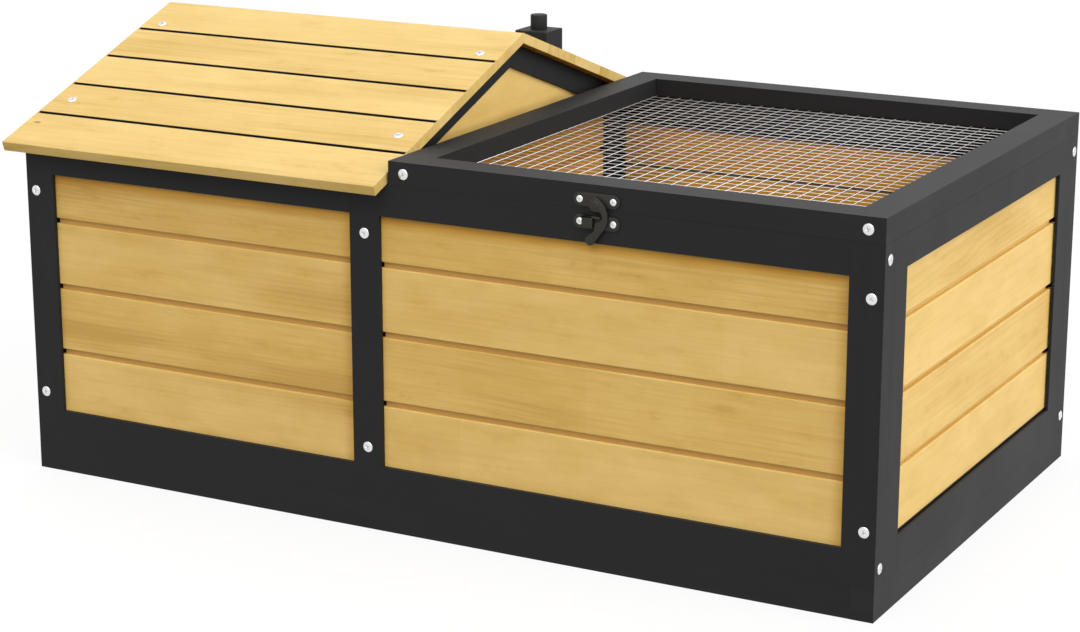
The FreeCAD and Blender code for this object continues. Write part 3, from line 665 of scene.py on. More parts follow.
# The gable infill takes a paler tone than any board draws: painted light that makes up for the light it loses
# under the roof's edge and above the dark lid.
gableLook = {"roofAngle": math.radians(19.3), "rafterDepth": 22 * mm, "ease": 0.4 * mm, "infillEase": 0.3 * mm,
             "infillTone": -0.2}
chimneyLook = {"ease": 1.0 * mm, "pipeEase": 0.8 * mm, "pipeSides": 40, "smoothAngle": 30}
floorEase = 0.4 * mm
roofAngle = gableLook["roofAngle"]


def spoke(angle):
    return Vector((math.cos(angle), math.sin(angle)))


def circle(centre, radius, sides):
    return [centre + radius * spoke(2 * math.pi * side / sides) for side in range(sides)]


def rectangle(low, high):
    left, bottom, right, top = *low[:2], *high[:2]
    return [Vector(corner) for corner in ((left, bottom), (right, bottom), (right, top), (left, top))]


def makeGable(side):
    node = side + "_gable_rafters"
    low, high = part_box(node)
    drop = gableLook["rafterDepth"] / math.cos(roofAngle)
    toeTop = high.z + low.y * math.tan(roofAngle)
    heel = -(high.z - drop - low.z) / math.tan(roofAngle)
    corners = [(low.y, low.z), (heel, low.z), (0, high.z - drop), (0, high.z), (low.y, toeTop)]
    shape = emptyTimber()
    for turn in (1, -1):
        outline = [Vector((turn * y, z)) for y, z in corners][::turn]
        grain = Vector((0, turn * math.cos(roofAngle), math.sin(roofAngle)))
        easedPrism(shape, outline, low.x, high.x, sideView, gableLook["ease"], grain)
    keepPiece(pieceName(node), shape, blackTimber, "house", node)

    node = side + "_gable_board"
    low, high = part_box(node)
    corners = [(low.y, low.z), (high.y, low.z), (0, high.z)]
    prismPiece(node, corners, low.x, high.x, sideView, gableLook["infillEase"], yAxis, pine,
               tone=gableLook["infillTone"])


def makeChimney():
    low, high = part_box("chimney_block")
    farDrop = (high.y - low.y) * math.tan(roofAngle)
    corners = [(low.y, low.z + farDrop), (high.y, low.z), (high.y, high.z), (low.y, high.z)]
    prismPiece("chimney_block", corners, low.x, high.x, sideView, chimneyLook["ease"], xAxis,
               blackTimber)
    low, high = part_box("chimney_pipe")
    outline = circle((low + high).xy / 2, (high.x - low.x) / 2, chimneyLook["pipeSides"])
    pipe = prismPiece("chimney_pipe", outline, low.z, high.z, topView, chimneyLook["pipeEase"], zAxis,
                      blackTimber)
    smoothOver(pipe, chimneyLook["smoothAngle"])


def makeFloor():
    low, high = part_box("floor_panel")
    prismPiece("floor_panel", rectangle(low, high), low.z, high.z, topView, floorEase, xAxis, plywood)


for side in ("left", "right"):
    makeGable(side)
makeChimney()
makeFloor()
print("gables, chimney and floor made")


# Boards: one blank is repeated in rows, with its low and high edges set row by row

slatLook = {"toneDraw": 0.4, "heartTone": 0.6, "grainSlide": 31.0, "grainDeal": 17.0}
blankLabels = ("atHighEdge", "edgeOffset", "lipShare", "gapStain", "footStain", "headTint", "innerTint")


def makeSlatTree(look):
    given = openGroup(
        "slatRows", "GeometryNodeTree", Geometry=["Blank"], Int=["Rows", "Seed"], Material=["Finish"],
        Float=["Lowest", "Highest", "First Seam", "Pitch", "Gap", "Lip Room", "Mitre", "Tone Spread"])

    def store(geometry, label, value, kind="FLOAT"):
        inputs = {"Geometry": geometry, "Name": label, "Value": value}
        return geoNode("StoreNamedAttribute", inputs, data_type=kind, domain="POINT")

    def choose(test, usual, special):
        return geoNode("Switch", {"Switch": test, "False": usual, "True": special}, input_type="FLOAT")

    row = geoNode("InputIndex")
    isLowest = mathNode("LESS_THAN", row, 0.5)
    isHighest = mathNode("GREATER_THAN", row, minus(given["Rows"], 1.5))
    seamAbove = timesPlus(row, given["Pitch"], given["First Seam"])
    seamBelow = minus(seamAbove, given["Pitch"])
    tone = addNode("FunctionNodeRandomValue", {2: 0.0, 3: look["toneDraw"], "ID": row, "Seed": given["Seed"]},
                   data_type="FLOAT").outputs[1]
    tone = timesPlus(mathNode("MODULO", row, 2.0), look["heartTone"], tone)  # sap and heart wood in turn
    perRow = {
        "rowLow": choose(isLowest, plus(seamBelow, given["Gap"]), given["Lowest"]),
        "rowHigh": choose(isHighest, seamAbove, given["Highest"]),
        "rowLip": choose(isHighest, minus(given["Gap"], given["Lip Room"]), 0.0),
        "rowLean": choose(isHighest, 0.0, given["Mitre"]),
        "lowSeam": choose(isLowest, 1.0, 0.0),
        "highSeam": choose(isHighest, 1.0, 0.0),
        "boardTone": times(tone, given["Tone Spread"]),
    }
    rows = geoNode("Points", {"Count": given["Rows"]})
    for label, value in perRow.items():
        rows = store(rows, label, value)
    placed = geoNode("InstanceOnPoints", {"Points": rows, "Instance": given["Blank"]})
    boards = geoNode("RealizeInstances", {0: placed})

    x, y, _ = axesOf(geoNode("InputPosition"))
    rise = minus(named("rowHigh"), named("rowLow"))
    edge = timesPlus(rise, named("atHighEdge"), named("rowLow"))
    edge = plus(edge, named("edgeOffset"))
    edge = timesPlus(named("lipShare"), named("rowLip"), edge)
    back = times(times(y, named("rowLean")), named("atHighEdge"))
    height = minus(edge, back)
    position = vectorOf({0: x, 1: y, 2: height})
    boards = geoNode("SetPosition", {"Geometry": boards, "Position": position})

    # Painted shade: groove floors, the end panels' foot line and the top boards under the rail are darkened in
    # colour; the roof's joints keep their own dark colour.
    seam = minus(named("highSeam"), named("lowSeam"))
    seam = timesPlus(seam, named("atHighEdge"), named("lowSeam"))
    foot = times(named("footStain"), minus(1.0, named("lowSeam")))
    boards = store(boards, "gapStain", mathNode("MAXIMUM", times(named("gapStain"), seam), foot))
    head = times(named("headTint"), minus(1.0, named("highSeam")))
    boards = store(boards, "innerTint", mathNode("MAXIMUM", named("innerTint"), head))
    slide = timesPlus(named("boardTone"), look["grainSlide"], x)
    deal = timesPlus(named("boardTone"), look["grainDeal"], height)
    boards = store(boards, "grainPlace", vectorOf({0: slide, 1: deal, 2: y}), "FLOAT_VECTOR")
    for label in (*perRow, *blankLabels):
        if label not in ("boardTone", "gapStain", "innerTint"):
            boards = geoNode("RemoveAttribute", {"Geometry": boards, "Name": label})
    return closeMesh(boards, given["Finish"])


def boardBlank(name, stock, length):
    thickness, chamfer, depth, tuck = stock["thickness"], stock["chamfer"], stock["gapDepth"], stock["tuck"]
    soft, hair = chamfer * (1 - math.sqrt(0.5)), 0.1 * mm
    inner, innerEdge = stock["innerGap"], thickness - stock["innerDepth"]
    foot, head, shade = tuck + stock["footLine"], tuck + stock["shadeReach"], tuck + stock["shadeFull"]
    gap, footShadowShare, headShadeShare = stock["gapStain"], stock["footStain"], stock["headTint"]
    lip, seam = stock["lipStain"], stock["seamStain"]
    profile = [  # depth, at the high edge or not, offset from it, moves with the lip, stained amount for the roof's own dark joints and painted shade in the walls, painted foot shadow, painted head shade
        (0, 0, chamfer, 0, 0, footShadowShare, 0), (0, 0, foot, 0, 0, footShadowShare, 0), (0, 0, foot + hair, 0, 0, 0, 0),
        (0, 1, -head, 0, 0, 0, 0), (0, 1, -shade, 0, 0, 0, headShadeShare), (0, 1, -chamfer, 0, 0, 0, headShadeShare),
        (soft, 1, -soft, 0, lip, 0, headShadeShare), (chamfer, 1, 0, 0, lip, 0, headShadeShare), (depth, 1, 0, 0, gap, 0, headShadeShare),
        (depth, 1, 0, 1, gap, 0, 0), (innerEdge, 1, 0, 1, seam, 0, 0), (innerEdge, 1, -inner, 1, seam, 0, 0),
        (thickness, 1, -inner, 1, 0, 0, 0), (thickness, 0, 0, 0, 0, 0, 0), (thickness - hair, 0, 0, 0, gap, 0, 0),
        (chamfer, 0, 0, 0, gap, 0, 0), (soft, 0, soft, 0, gap, 0, 0),
    ]
    shape = bmesh.new()
    layers = [shape.verts.layers.float.new(label) for label in blankLabels]
    ends = [(0, 1, 0), (tuck, 1, 0), (tuck + hair, 0, 0)]  # distance from the end, tucked away, in the painted shade of the right end
    rightEnds = [(head, 0, 0), (tuck + hair, 0, 1), (tuck, 1, 1), (0, 1, 0)]
    rings = []
    for x, tucked, shaded in ends + [(length - near, tucked, shaded) for near, tucked, shaded in rightEnds]:
        ring = []
        for y, atHigh, offset, lipShare, stainAndShade, footStain, headTint in profile:
            blankHeight = atHigh * stock["pitch"] + offset + lipShare * stock["gap"]
            closed = tucked and atHigh and y <= depth
            # Painted shade: where the boards tuck into the stiles, the seams take the end colour and show as dark
            # notches.
            if tucked and stainAndShade:
                stainAndShade = stock["endStain"]
            # Painted shade: the partition's face, the right end and the inner faces are made darker.
            paintedShade = max(stock["faceTint"], shaded * stock["rightTint"])
            if y == thickness and 0 < x < length:
                paintedShade = stock["backTint"]
            vertex = shape.verts.new((x, y * stock["endOpen"] if closed else y, blankHeight))
            for layer, value in zip(layers, (atHigh, offset, lipShare, stainAndShade, footStain, headTint, paintedShade)):
                vertex[layer] = value
            ring.append(vertex)
        rings.append(ring)
    shape.faces.new(rings[0])
    shape.faces.new(reversed(rings[-1]))
    for near, far in zip(rings, rings[1:]):
        for index in range(len(profile)):
            after = (index + 1) % len(profile)
            shape.faces.new((near[index], far[index], far[after], near[after]))
    return meshObject(name, shape)


def growBoards(name, stock, length, lowest, highest, firstSeam, rows, seed, mitre=0.0):
    return growTree(boardBlank(name, stock, length), slatTree, {
        "Rows": rows, "Lowest": lowest, "Highest": highest, "First Seam": firstSeam, "Pitch": stock["pitch"],
        "Gap": stock["gap"], "Lip Room": stock["lipRoom"], "Mitre": mitre, "Tone Spread": stock["toneSpread"],
        "Seed": seed, "Finish": stock["finish"]})


slatTree = makeSlatTree(slatLook)
# Stock amounts for grooves, ends, seams, foot, head, right end, face and back paint shade into the boards' colour;
# the roof's joint amounts give its own dark joints.
wallStock = {
    "thickness": 12 * mm, "pitch": 63.2 * mm, "gap": 5 * mm, "gapDepth": 4 * mm, "chamfer": 1 * mm,
    "lipRoom": 0.2 * mm, "tuck": 7.8 * mm, "gapStain": 0.5, "endStain": 1.0, "endOpen": 1.0,
    "innerGap": 4 * mm, "innerDepth": 2 * mm, "footLine": 1.8 * mm, "footStain": 0.0, "shadeReach": 13 * mm,
    "shadeFull": 5 * mm, "headTint": 0.9, "rightTint": 0.65, "faceTint": 0.0, "backTint": 1.0, "lipStain": 0.0,
    "seamStain": 0.84, "toneSpread": 1.0, "finish": pine, "seed": 3, "seedStep": 5,
}
endStock = dict(wallStock, gapStain=0.25, footStain=1.0, headTint=0.0, rightTint=0.0, toneSpread=0.35)
partitionStock = dict(wallStock, faceTint=1.0)
roofStock = dict(wallStock, thickness=9 * mm, pitch=56.5 * mm, gap=3.9 * mm, gapDepth=2.2 * mm, chamfer=0.2 * mm,
                 tuck=0.6 * mm, gapStain=1.0, endStain=0.0, endOpen=0.02, innerGap=0.5 * mm, innerDepth=0.5 * mm,
                 headTint=0.0, rightTint=0.0, lipStain=1.0, seamStain=1.0, toneSpread=0.6, finish=roofShadedPine,
                 seed=21, lowestBoard=55.65 * mm)
stocks = {"left": endStock, "right": endStock, "partition": partitionStock}
outwardTurn = {"front": 0, "back": 180, "right": 90, "left": -90, "partition": 90}


def wallPanel(name, stock, solids, turn, seed):
    low, high = boxOf([corner for points in solids for corner in boxOf(points)])
    spin = Matrix.Rotation(math.radians(turn), 4, "Z")
    localLow, localHigh = boxOf([spin.inverted() @ low, spin.inverted() @ high])
    secondBoard = sorted(boxOf(points)[0].z for points in solids)[1]
    panel = growBoards(name, stock, localHigh.x - localLow.x, low.z, high.z, secondBoard - stock["gap"],
                       len(solids), seed)
    panel.data.transform(spin @ Matrix.Translation((localLow.x, localLow.y, 0)))
    return panel


def joinPieces(first, *others):
    shape = bmesh.new()
    for piece in (first, *others):
        shape.from_mesh(piece.data)
    shape.to_mesh(first.data)
    shape.free()
    for piece in others:
        bpy.data.objects.remove(piece)
    return first


for order, node in enumerate(boardNodes):
    bays = {}  # the partition has three, one on each side of the doorway and one over it
    for points in solidsOf(node):
        low, high = boxOf(points)
        bays.setdefault((round(low.x, 4), round(low.y, 4), round(high.y, 4)), []).append(points)
    side = node.split("_")[0]
    stock = stocks.get(side, wallStock)
    panels = [wallPanel(pieceName(node) if bay == 0 else "spareBay", stock, part, outwardTurn[side],
                        stock["seed"] + stock["seedStep"] * order + bay) for bay, part in enumerate(bays.values())]
    keepObject(joinPieces(*panels), "house", node)
print("wall boards grown:", len(boardNodes), "panels")


def makeRoofSlope(side):
    node, turn = side + "_roof_boards", outwardTurn[side]
    low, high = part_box(node)
    eaveOut = high.y if turn else -low.y
    eaveTop = low.z + roofStock["thickness"] * math.cos(roofAngle)
    slopeLength = eaveOut / math.cos(roofAngle)
    rows = round((slopeLength + roofStock["gap"]) / roofStock["pitch"])
    slope = growBoards(pieceName(node), roofStock, high.x - low.x, 0.0, slopeLength, roofStock["lowestBoard"],
                       rows, roofStock["seed"] + turn, math.tan(roofAngle))
    spin = Matrix.Rotation(math.radians(turn), 4, "Z")
    corner = Vector((high.x if turn else low.x, eaveOut if turn else -eaveOut, eaveTop))
    lean = Matrix.Rotation(roofAngle - math.pi / 2, 4, "X")
    slope.data.transform(Matrix.Translation(corner) @ spin @ lean)
    keepObject(slope, "house", node)


for side in ("front", "back"):
    makeRoofSlope(side)
print("roof slopes grown")


# Screws: seats are read from the frame, and one screw is set on each with its slot at random

frameScrew = {
    "headDiameter": 9.5 * mm, "headHeight": 1.2 * mm, "rim": 0.4 * mm, "ease": 0.15 * mm, "shankDiameter": 4 * mm,
    "length": 20 * mm, "sides": 32, "slotLength": 5 * mm, "slotWidth": 1.1 * mm, "slotDepth": 0.6 * mm,
    "slotTaper": 0.62, "grimeWidth": 0.55, "grimeTop": 0.6,  # shares of the slot
    "smoothAngle": 35,
    "point": ((0.0, 0.0), (0.35, 0.6), (1.0, 2.5)),  # width and rise, in radii of the shank
    "dome": (0.92, 0.8, 0.6, 0.4, 0.0),  # shares of the head's radius
}
fittingScrew = dict(frameScrew, headDiameter=6 * mm, shankDiameter=3 * mm, length=11 * mm, sides=24,
                    slotLength=3.2 * mm, slotWidth=0.8 * mm, slotDepth=0.5 * mm)
roofOut = Vector((0, -math.sin(roofAngle), math.cos(roofAngle)))
screwSets = (  # node, body, screw, ways that it may point
    ("frame_screws", "house", frameScrew, (xAxis, yAxis)),
    ("roof_screws", "house", frameScrew, (roofOut, Vector((0, -roofOut.y, roofOut.z)))),
    ("lid_screws", "lid", frameScrew, (yAxis,)),
    ("frame_fitting_screws", "house", fittingScrew, (yAxis,)),
    ("lid_fitting_screws", "lid", fittingScrew, (yAxis,)),
)
firstScrewSeed = 5


def makeScrewTree():
    given = openGroup("screwSet", "GeometryNodeTree", Geometry=["Seats"], Object=["Screw"], Int=["Seed"],
                      Material=["Finish"])
    outward = named("outward", "FLOAT_VECTOR")
    aim = addNode("FunctionNodeAlignRotationToVector", {"Vector": outward}, axis="Z").outputs[0]
    spin = addNode("FunctionNodeRandomValue", {2: 0.0, 3: 2 * math.pi, "Seed": given["Seed"]},
                   data_type="FLOAT").outputs[1]
    spin = addNode("FunctionNodeAxisAngleToRotation", {"Axis": (0, 0, 1), "Angle": spin}).outputs[0]
    turned = addNode("FunctionNodeRotateRotation", {"Rotation": aim, "Rotate By": spin},
                     rotation_space="LOCAL").outputs[0]
    screw = addNode("GeometryNodeObjectInfo", {"Object": given["Screw"]}).outputs["Geometry"]
    placed = geoNode("InstanceOnPoints", {"Points": given["Seats"], "Instance": screw, "Rotation": turned})
    screws = geoNode("RealizeInstances", {0: placed})
    screws = geoNode("RemoveAttribute", {"Geometry": screws, "Name": "outward"})
    return closeMesh(screws, given["Finish"])


def latheMesh(shape, outline, sides):
    rings = []
    for radius, height in outline:
        points = circle(Vector((0, 0)), radius, sides if radius > tiny else 1)
        rings.append([shape.verts.new((*point, height)) for point in points])
    for lower, upper in zip(rings, rings[1:]):
        for index in range(sides):
            after = (index + 1) % sides
            corners = [lower[index % len(lower)], lower[after % len(lower)],
                       upper[after % len(upper)], upper[index % len(upper)]]
            shape.faces.new(list(dict.fromkeys(corners)))


def screwPattern(look):
    radius, rise, rim = look["headDiameter"] / 2, look["headHeight"], look["rim"]
    shank, slot = look["shankDiameter"] / 2, (look["slotLength"], look["slotWidth"])
    outline = [(shank * width, shank * height - look["length"]) for width, height in look["point"]]
    outline += [(shank, 0), (radius - look["ease"], 0), (radius, look["ease"]), (radius, rim)]
    outline += [(radius * share, rim + (rise - rim) * math.sqrt(1 - share ** 2)) for share in look["dome"]]
    shape = bmesh.new()
    latheMesh(shape, outline, look["sides"])
    screw = meshObject("screwPattern", shape)
    cross = bmesh.new()
    for wide, narrow in (slot, slot[::-1]):
        for vertex in bmesh.ops.create_cube(cross, size=1.0)["verts"]:
            taper = look["slotTaper"] if vertex.co.z < 0 else 1.0
            vertex.co = Vector((vertex.co.x * wide * taper, vertex.co.y * narrow * taper,
                                rise + vertex.co.z * 2 * look["slotDepth"]))
    cutter = meshObject("slotCutter", cross)
    cut = screw.modifiers.new("slot", "BOOLEAN")
    cut.object = cutter
    cut.operation = "DIFFERENCE"
    cut.use_self = True
    freezeModifiers(screw)
    bpy.data.objects.remove(cutter)
    # Painted shade: the floor of the slot takes a darker colour, where the recess lies in shade.
    shade = screw.data.attributes.new("slotShade", "FLOAT", "POINT")
    for vertex in screw.data.vertices:
        inSlotShade = 0 < vertex.co.z < rise - look["grimeTop"] * look["slotDepth"]
        shade.data[vertex.index].value = float(inSlotShade and vertex.co.xy.length < look["grimeWidth"] * slot[0])
    smoothOver(screw, look["smoothAngle"])
    return screw


def spanAlong(points, way):
    along = [point.dot(way) for point in points]
    return min(along), max(along)


def widthAlong(points, way):
    low, high = spanAlong(points, way)
    return high - low


def screwSeats(node, look, ways):
    seats = []
    for points in solidsOf(node):
        axis = max(ways, key=lambda way: widthAlong(points, way))
        side = axis.orthogonal().normalized()
        ends = []
        for outward in (axis, -axis):
            crown = spanAlong(points, outward)[1]
            ends.append((outward, crown, [p for p in points if p.dot(outward) > crown - 2 * look["headHeight"]]))
        outward, crown, head = max(ends, key=lambda end: widthAlong(end[2], side))  # the head is the wide end
        seat = outward * (crown - look["headHeight"])
        for way in (side, axis.cross(side)):
            seat += way * (sum(spanAlong(head, way)) / 2)
        seats.append((seat, outward))
    return seats


def setScrews(node, body, look, ways, pattern, seed):
    seats = screwSeats(node, look, ways)
    mesh = bpy.data.meshes.new(pieceName(node))
    mesh.from_pydata([seat for seat, _ in seats], [], [])
    directions = mesh.attributes.new("outward", "FLOAT_VECTOR", "POINT")
    for index, (_, outward) in enumerate(seats):
        directions.data[index].vector = outward
    piece = newObject(pieceName(node), mesh)
    growTree(piece, screwTree, {"Screw": pattern, "Seed": seed, "Finish": zinc})
    keepObject(piece, body, node)
    return len(seats)


screwTree = makeScrewTree()
screwPatterns = {look["headDiameter"]: screwPattern(look) for look in (frameScrew, fittingScrew)}
screwCount = 0
for order, (node, body, look, ways) in enumerate(screwSets):
    pattern = screwPatterns[look["headDiameter"]]
    screwCount += setScrews(node, body, look, ways, pattern, firstScrewSeed + order)
for pattern in screwPatterns.values():
    bpy.data.objects.remove(pattern)
print("screws set:", screwCount)


# Welded mesh of the lid

meshLook = {"pitch": 12.7 * mm, "radius": 0.3 * mm, "sides": 8, "sway": 0.12 * mm, "seed": 12}


def makeWireTree():
    given = openGroup(
        "weldedMesh", "GeometryNodeTree", Geometry=["Start"], Vector=["Low Corner"],
        Int=["Count X", "Count Y", "Sides", "Seed"], Material=["Finish"],
        Float=["Span X", "Span Y", "First X", "First Y", "Pitch", "Radius", "Upper", "Lower", "Sway"])
    corner = axesOf(given["Low Corner"])

    def layer(axis, height):
        near, far = "XY"[axis], "YX"[axis]
        span = given["Span " + far]
        middle = timesPlus(span, 0.5, corner[far])
        start = vectorOf({axis: given["First " + near], 1 - axis: middle, 2: given[height]})
        step = vectorOf({axis: given["Pitch"]})
        line = geoNode("MeshLine", {"Count": given["Count " + near], "Start Location": start, "Offset": step},
                       mode="OFFSET")
        seed = plus(given["Seed"], float(axis))
        sway = addNode("FunctionNodeRandomValue", {0: (-1, -1, 0), 1: (1, 1, 0), "Seed": seed},
                       data_type="FLOAT_VECTOR").outputs[0]
        sway = addNode("ShaderNodeVectorMath", {0: sway, "Scale": given["Sway"]}, operation="SCALE").outputs[0]
        line = geoNode("SetPosition", {"Geometry": line, "Offset": sway})
        wire = geoNode("MeshCylinder", {"Vertices": given["Sides"], "Radius": given["Radius"], "Depth": span})
        wire = geoNode("SetShadeSmooth", {"Geometry": wire})
        turn = xAxis if axis == 0 else yAxis
        wire = geoNode("Transform", {"Geometry": wire, "Rotation": turn * (math.pi / 2)})
        return geoNode("InstanceOnPoints", {"Points": line, "Instance": wire})

    both = addNode("GeometryNodeJoinGeometry")
    for axis, height in enumerate(("Upper", "Lower")):
        setInputs(both, {0: layer(axis, height)})
    return closeMesh(geoNode("RealizeInstances", {0: both.outputs[0]}), given["Finish"])


def makeLidMesh():
    low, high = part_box("lid_mesh")
    pitch, radius = meshLook["pitch"], meshLook["radius"]

    def spread(start, end):
        count = int((end - start - 2 * radius) / pitch)
        return count + 1, (start + end - count * pitch) / 2

    countX, firstX = spread(lidOpening[0].x, lidOpening[1].x)
    countY, firstY = spread(lidOpening[0].y, lidOpening[1].y)
    values = {"Low Corner": low, "Span X": high.x - low.x, "Span Y": high.y - low.y, "First X": firstX,
              "First Y": firstY, "Count X": countX, "Count Y": countY, "Pitch": pitch, "Radius": radius,
              "Sides": meshLook["sides"], "Upper": high.z - radius, "Lower": low.z + radius,
              "Sway": meshLook["sway"], "Seed": meshLook["seed"], "Finish": galvanised}
    mesh = growTree(newObject("lidMesh", bpy.data.meshes.new("lidMesh")), makeWireTree(), values)
    keepObject(mesh, "lid", "lid_mesh")
    return countX + countY


print("mesh wires:", makeLidMesh())


# Latch: plates, hook and rivet with cast, rounded edges

latchLook = {"plateEase": 0.5 * mm, "hookEase": 0.7 * mm, "arcSteps": 14, "rivetSides": 28, "smoothAngle": 40}
hookLook = {  # millimetres right of and above the pivot
    "boss": 6.2, "armOutside": (11.2, -9.7), "armFoot": (5.2, -24.5), "tail": (-4.9, -30.9), "tailRadius": 4.4,
    "tailStart": -50, "tailEnd": 120, "neck": (-1.2, -22.8), "toothTip": (0.0, -16.0), "toothRoot": (5.0, -13.6),
    "throat": (6.4, -10.2), "armInside": (3.6, -6.2), "buttonRise": 0.5, "buttonShare": 0.78,
}
catchLook = {"plateHeight": 12 * mm, "lipDrop": 10.1 * mm, "lipLeft": 12.5 * mm, "lipRight": 4.6 * mm,
             "lipThickness": 2 * mm, "blockWidth": 10 * mm, "blockHeight": 10.6 * mm, "ease": 0.6 * mm}
rivetLook = {
    "dome": 1.0 * mm, "shank": 0.55, "back": 0.88,  # the last two are shares of the radius
    "backDepth": (0.3, 0.32), "domeRise": 0.7, "domeShares": (0.94, 0.8, 0.6, 0.35),
}
frontView = (xAxis, zAxis, -yAxis)  # outlines face the front, and depth runs out from the wall
pivot = next(Vector(joint["pos_m"]) for joint in frame["joints"] if joint["name"] == "latch_pivot")
pivotPoint = Vector((pivot.x, pivot.z))


def arcThrough(first, middle, last):
    first = Vector(first)
    toMiddle, toLast = Vector(middle) - first, Vector(last) - first
    area = toMiddle.cross(toLast)
    balance = toMiddle * toLast.length_squared - toLast * toMiddle.length_squared
    centre = first + balance.orthogonal() / (2 * area)
    start, end = [math.atan2(spot.y, spot.x) for spot in (first - centre, Vector(last) - centre)]
    turn = math.copysign(1, area)
    sweep = (turn * (end - start)) % (2 * math.pi)
    radius, steps = (first - centre).length, latchLook["arcSteps"]
    return [centre + radius * spoke(start + turn * sweep * step / steps) for step in range(steps + 1)]


def roundEnded(low, high):
    radius, middle = (high.z - low.z) / 2, (high.z + low.z) / 2
    right, left = high.x - radius, low.x + radius
    return (arcThrough((right, low.z), (high.x, middle), (right, high.z))
            + arcThrough((left, high.z), (low.x, middle), (left, low.z)))


def hookOutline():
    look, boss = hookLook, hookLook["boss"]
    middle = (look["tailStart"] + look["tailEnd"]) / 2 + 180
    tail = [Vector(look["tail"]) + look["tailRadius"] * spoke(math.radians(angle))
            for angle in (look["tailStart"], middle, look["tailEnd"])]
    points = arcThrough((0, boss), look["armOutside"], look["armFoot"]) + arcThrough(*tail)
    points += [Vector(look["neck"]), Vector(look["toothTip"])]
    points += arcThrough(look["toothRoot"], look["throat"], look["armInside"])
    points += arcThrough((0, -boss), (-boss, 0), (0, boss))[:-1]
    return [pivotPoint + point * mm for point in reversed(points)]


def keepBronze(name, shape, body, node):
    smoothOver(keepPiece(name, shape, bronze, body, node), latchLook["smoothAngle"])


def makeLatchPlates():
    low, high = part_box("latch_hook_plate")
    shape = emptyTimber()
    easedPrism(shape, roundEnded(low, high), -high.y, -low.y, frontView, latchLook["plateEase"], xAxis)
    keepBronze("latchHookPlate", shape, "lid", "latch_hook_plate")
    plateFront = -low.y

    low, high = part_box("latch_catch_plate")
    look = catchLook
    lipTop, lipLeft = pivot.z - look["lipDrop"], pivot.x - look["lipLeft"]
    plate = roundEnded(low, Vector((high.x, 0, low.z + look["plateHeight"])))
    shape = emptyTimber()
    easedPrism(shape, plate, -high.y, plateFront, frontView, latchLook["plateEase"], xAxis)
    for right, bottom in ((pivot.x + look["lipRight"], lipTop - look["lipThickness"]),
                          (lipLeft + look["blockWidth"], lipTop - look["blockHeight"])):
        easedPrism(shape, rectangle((lipLeft, bottom), (right, lipTop)), plateFront, -low.y, frontView,
                   look["ease"], xAxis)
    keepBronze("latchCatch", shape, "house", "latch_catch_plate")


def makeHook():
    low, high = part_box("latch_hook")
    shape = emptyTimber()
    easedPrism(shape, hookOutline(), -high.y, -low.y, frontView, latchLook["hookEase"], xAxis)
    rise = hookLook["buttonRise"] * mm
    button = circle(pivotPoint + Vector(hookLook["tail"]) * mm,
                    hookLook["tailRadius"] * hookLook["buttonShare"] * mm, latchLook["rivetSides"])
    easedPrism(shape, button, -low.y - rise, -low.y + rise, frontView, rise, xAxis)
    keepBronze("latchHook", shape, "hook", "latch_hook")


def makeRivet():
    low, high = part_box("latch_rivet")
    radius, depth = (high.x - low.x) / 2, high.y - low.y
    look, back, shank = rivetLook, rivetLook["back"] * radius, rivetLook["shank"] * radius
    shoulder, rise = depth - look["dome"], look["domeRise"] * look["dome"]
    outline = [(0, 0), (back, 0), (back, look["backDepth"][0] * depth), (shank, look["backDepth"][1] * depth),
               (shank, shoulder), (radius, shoulder), (radius, depth - rise)]
    outline += [(radius * share, depth - rise * (1 - math.sqrt(1 - share ** 2))) for share in look["domeShares"]]
    shape = emptyTimber()
    latheMesh(shape, outline + [(0, depth)], latchLook["rivetSides"])
    shape.transform(Matrix.Translation((pivot.x, high.y, pivot.z)) @ Matrix.Rotation(math.pi / 2, 4, "X"))
    keepBronze("latchRivet", shape, "lid", "latch_rivet")


makeLatchPlates()
makeHook()
makeRivet()
print("latch made")


# Hinges keep their frame shapes

for node in ("hinge_frame_leaves", "hinge_lid_leaves", "hinge_pins"):
    nodes[node].material_slots[0].material = hingeBlack
print("hinges finished")


# Studio: pale floor, soft lamps and the camera

studio = {
    "target": Vector((-0.0113, 0.0, 0.14287)), "azimuth": 28.323, "elevation": 15.294, "distance": 2.5583,
    "lens": 89.519, "floorSize": 24.0, "floorDrop": 0.2 * mm, "floorRough": 0.9, "floorColour": (0.86, 0.86, 0.86),
    "floorBounce": (0.28, 0.28, 0.28), "floorShows": 0.15, "skyLight": 0.32, "lampDistance": 3,
    "lamps": (  # name, where it shines from, spread in degrees, strength
        ("overhead", (0.15, -0.2, 1.0), 80, 1.27),
        ("right", (1.0, -0.1, 0.35), 60, 2.45),
        ("front", (0.15, -1.0, 0.8), 50, 1.1),
        ("back", (-0.7, 1.0, 0.55), 70, 1.3),
    ),
}


def seenDirectly():
    path = addNode("ShaderNodeLightPath").outputs
    seen = mathNode("MAXIMUM", path["Is Camera Ray"], path["Is Glossy Ray"])
    return mathNode("MAXIMUM", seen, path["Is Transmission Ray"])


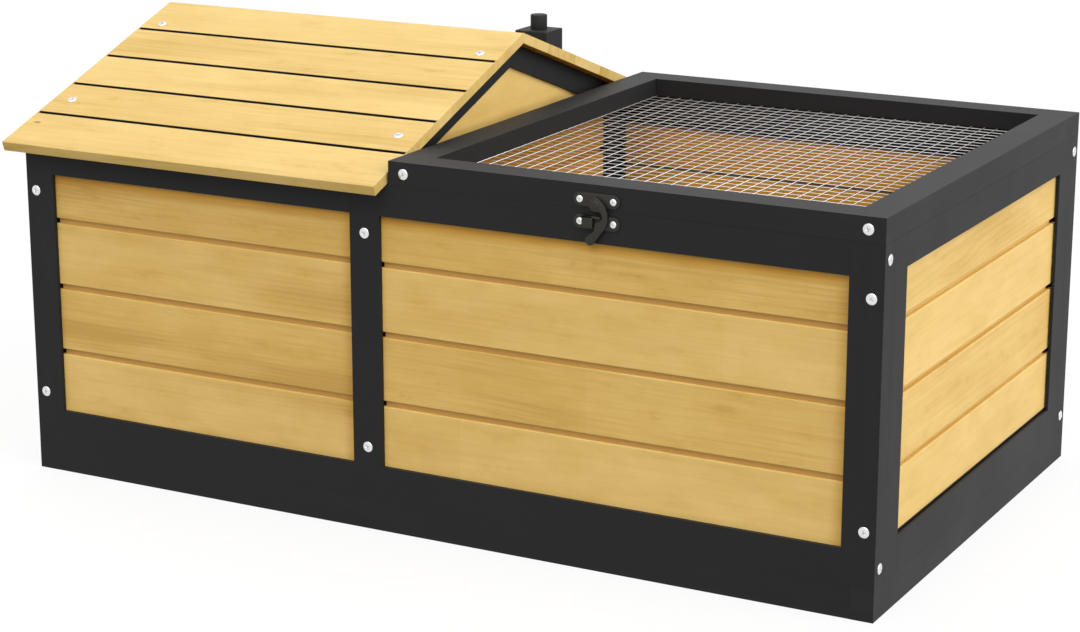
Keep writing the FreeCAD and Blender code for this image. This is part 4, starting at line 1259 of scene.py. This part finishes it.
def makeFloorStage():
    half = studio["floorSize"] / 2
    mesh = bpy.data.meshes.new("studioFloor")
    mesh.from_pydata([(*corner, 0) for corner in rectangle((-half, -half), (half, half))], [], [(0, 1, 2, 3)])
    floor = newObject("studioFloor", mesh)
    floor.location.z = -studio["floorDrop"]
    mesh.materials.append(newFinish("studioFloor"))
    seen = seenDirectly()
    surface, output = [current["tree"].nodes[name] for name in ("Principled BSDF", "Material Output")]
    colour = mixColour(seen, studio["floorBounce"], studio["floorColour"])
    setInputs(surface, {"Base Color": colour, "Roughness": studio["floorRough"], "Specular IOR Level": 0.0})
    white = addNode("ShaderNodeEmission", {"Strength": 1.0}).outputs[0]
    share = times(seen, 1 - studio["floorShows"])
    blend = addNode("ShaderNodeMixShader", {0: share, 1: surface.outputs[0], 2: white}).outputs[0]
    setInputs(output, {"Surface": blend})


def makeSky():
    world = bpy.data.worlds.new("studioSky")
    bpy.context.scene.world = world
    world.use_nodes = True
    current["tree"] = world.node_tree
    strength = rangeNode(seenDirectly(), 0.0, 1.0, studio["skyLight"], 1.0)
    setInputs(world.node_tree.nodes["Background"], {"Color": (1, 1, 1, 1), "Strength": strength})


def aimFrom(holder, back):
    holder.rotation_euler = (-back).to_track_quat("-Z", "Y").to_euler()


def makeLamps():
    for name, source, spread, strength in studio["lamps"]:
        lamp = bpy.data.lights.new(name, "SUN")
        lamp.angle = math.radians(spread)
        lamp.energy = strength
        holder = newObject(name, lamp)
        holder.location = Vector(source) * studio["lampDistance"]
        aimFrom(holder, Vector(source))
        holder.visible_glossy = name != "back"  # lifts the far sides without a sheen on the near ones


def makeCamera():
    azimuth, elevation = math.radians(studio["azimuth"]), math.radians(studio["elevation"])
    back = Vector((math.sin(azimuth) * math.cos(elevation), -math.cos(azimuth) * math.cos(elevation),
                   math.sin(elevation)))
    camera = newObject("camera", bpy.data.cameras.new("camera"))
    camera.data.lens = studio["lens"]
    camera.location = studio["target"] + back * studio["distance"]
    aimFrom(camera, back)
    bpy.context.scene.camera = camera


makeFloorStage()
makeSky()
makeLamps()
makeCamera()
bpy.context.scene.view_settings.view_transform = "Standard"
print("studio ready")
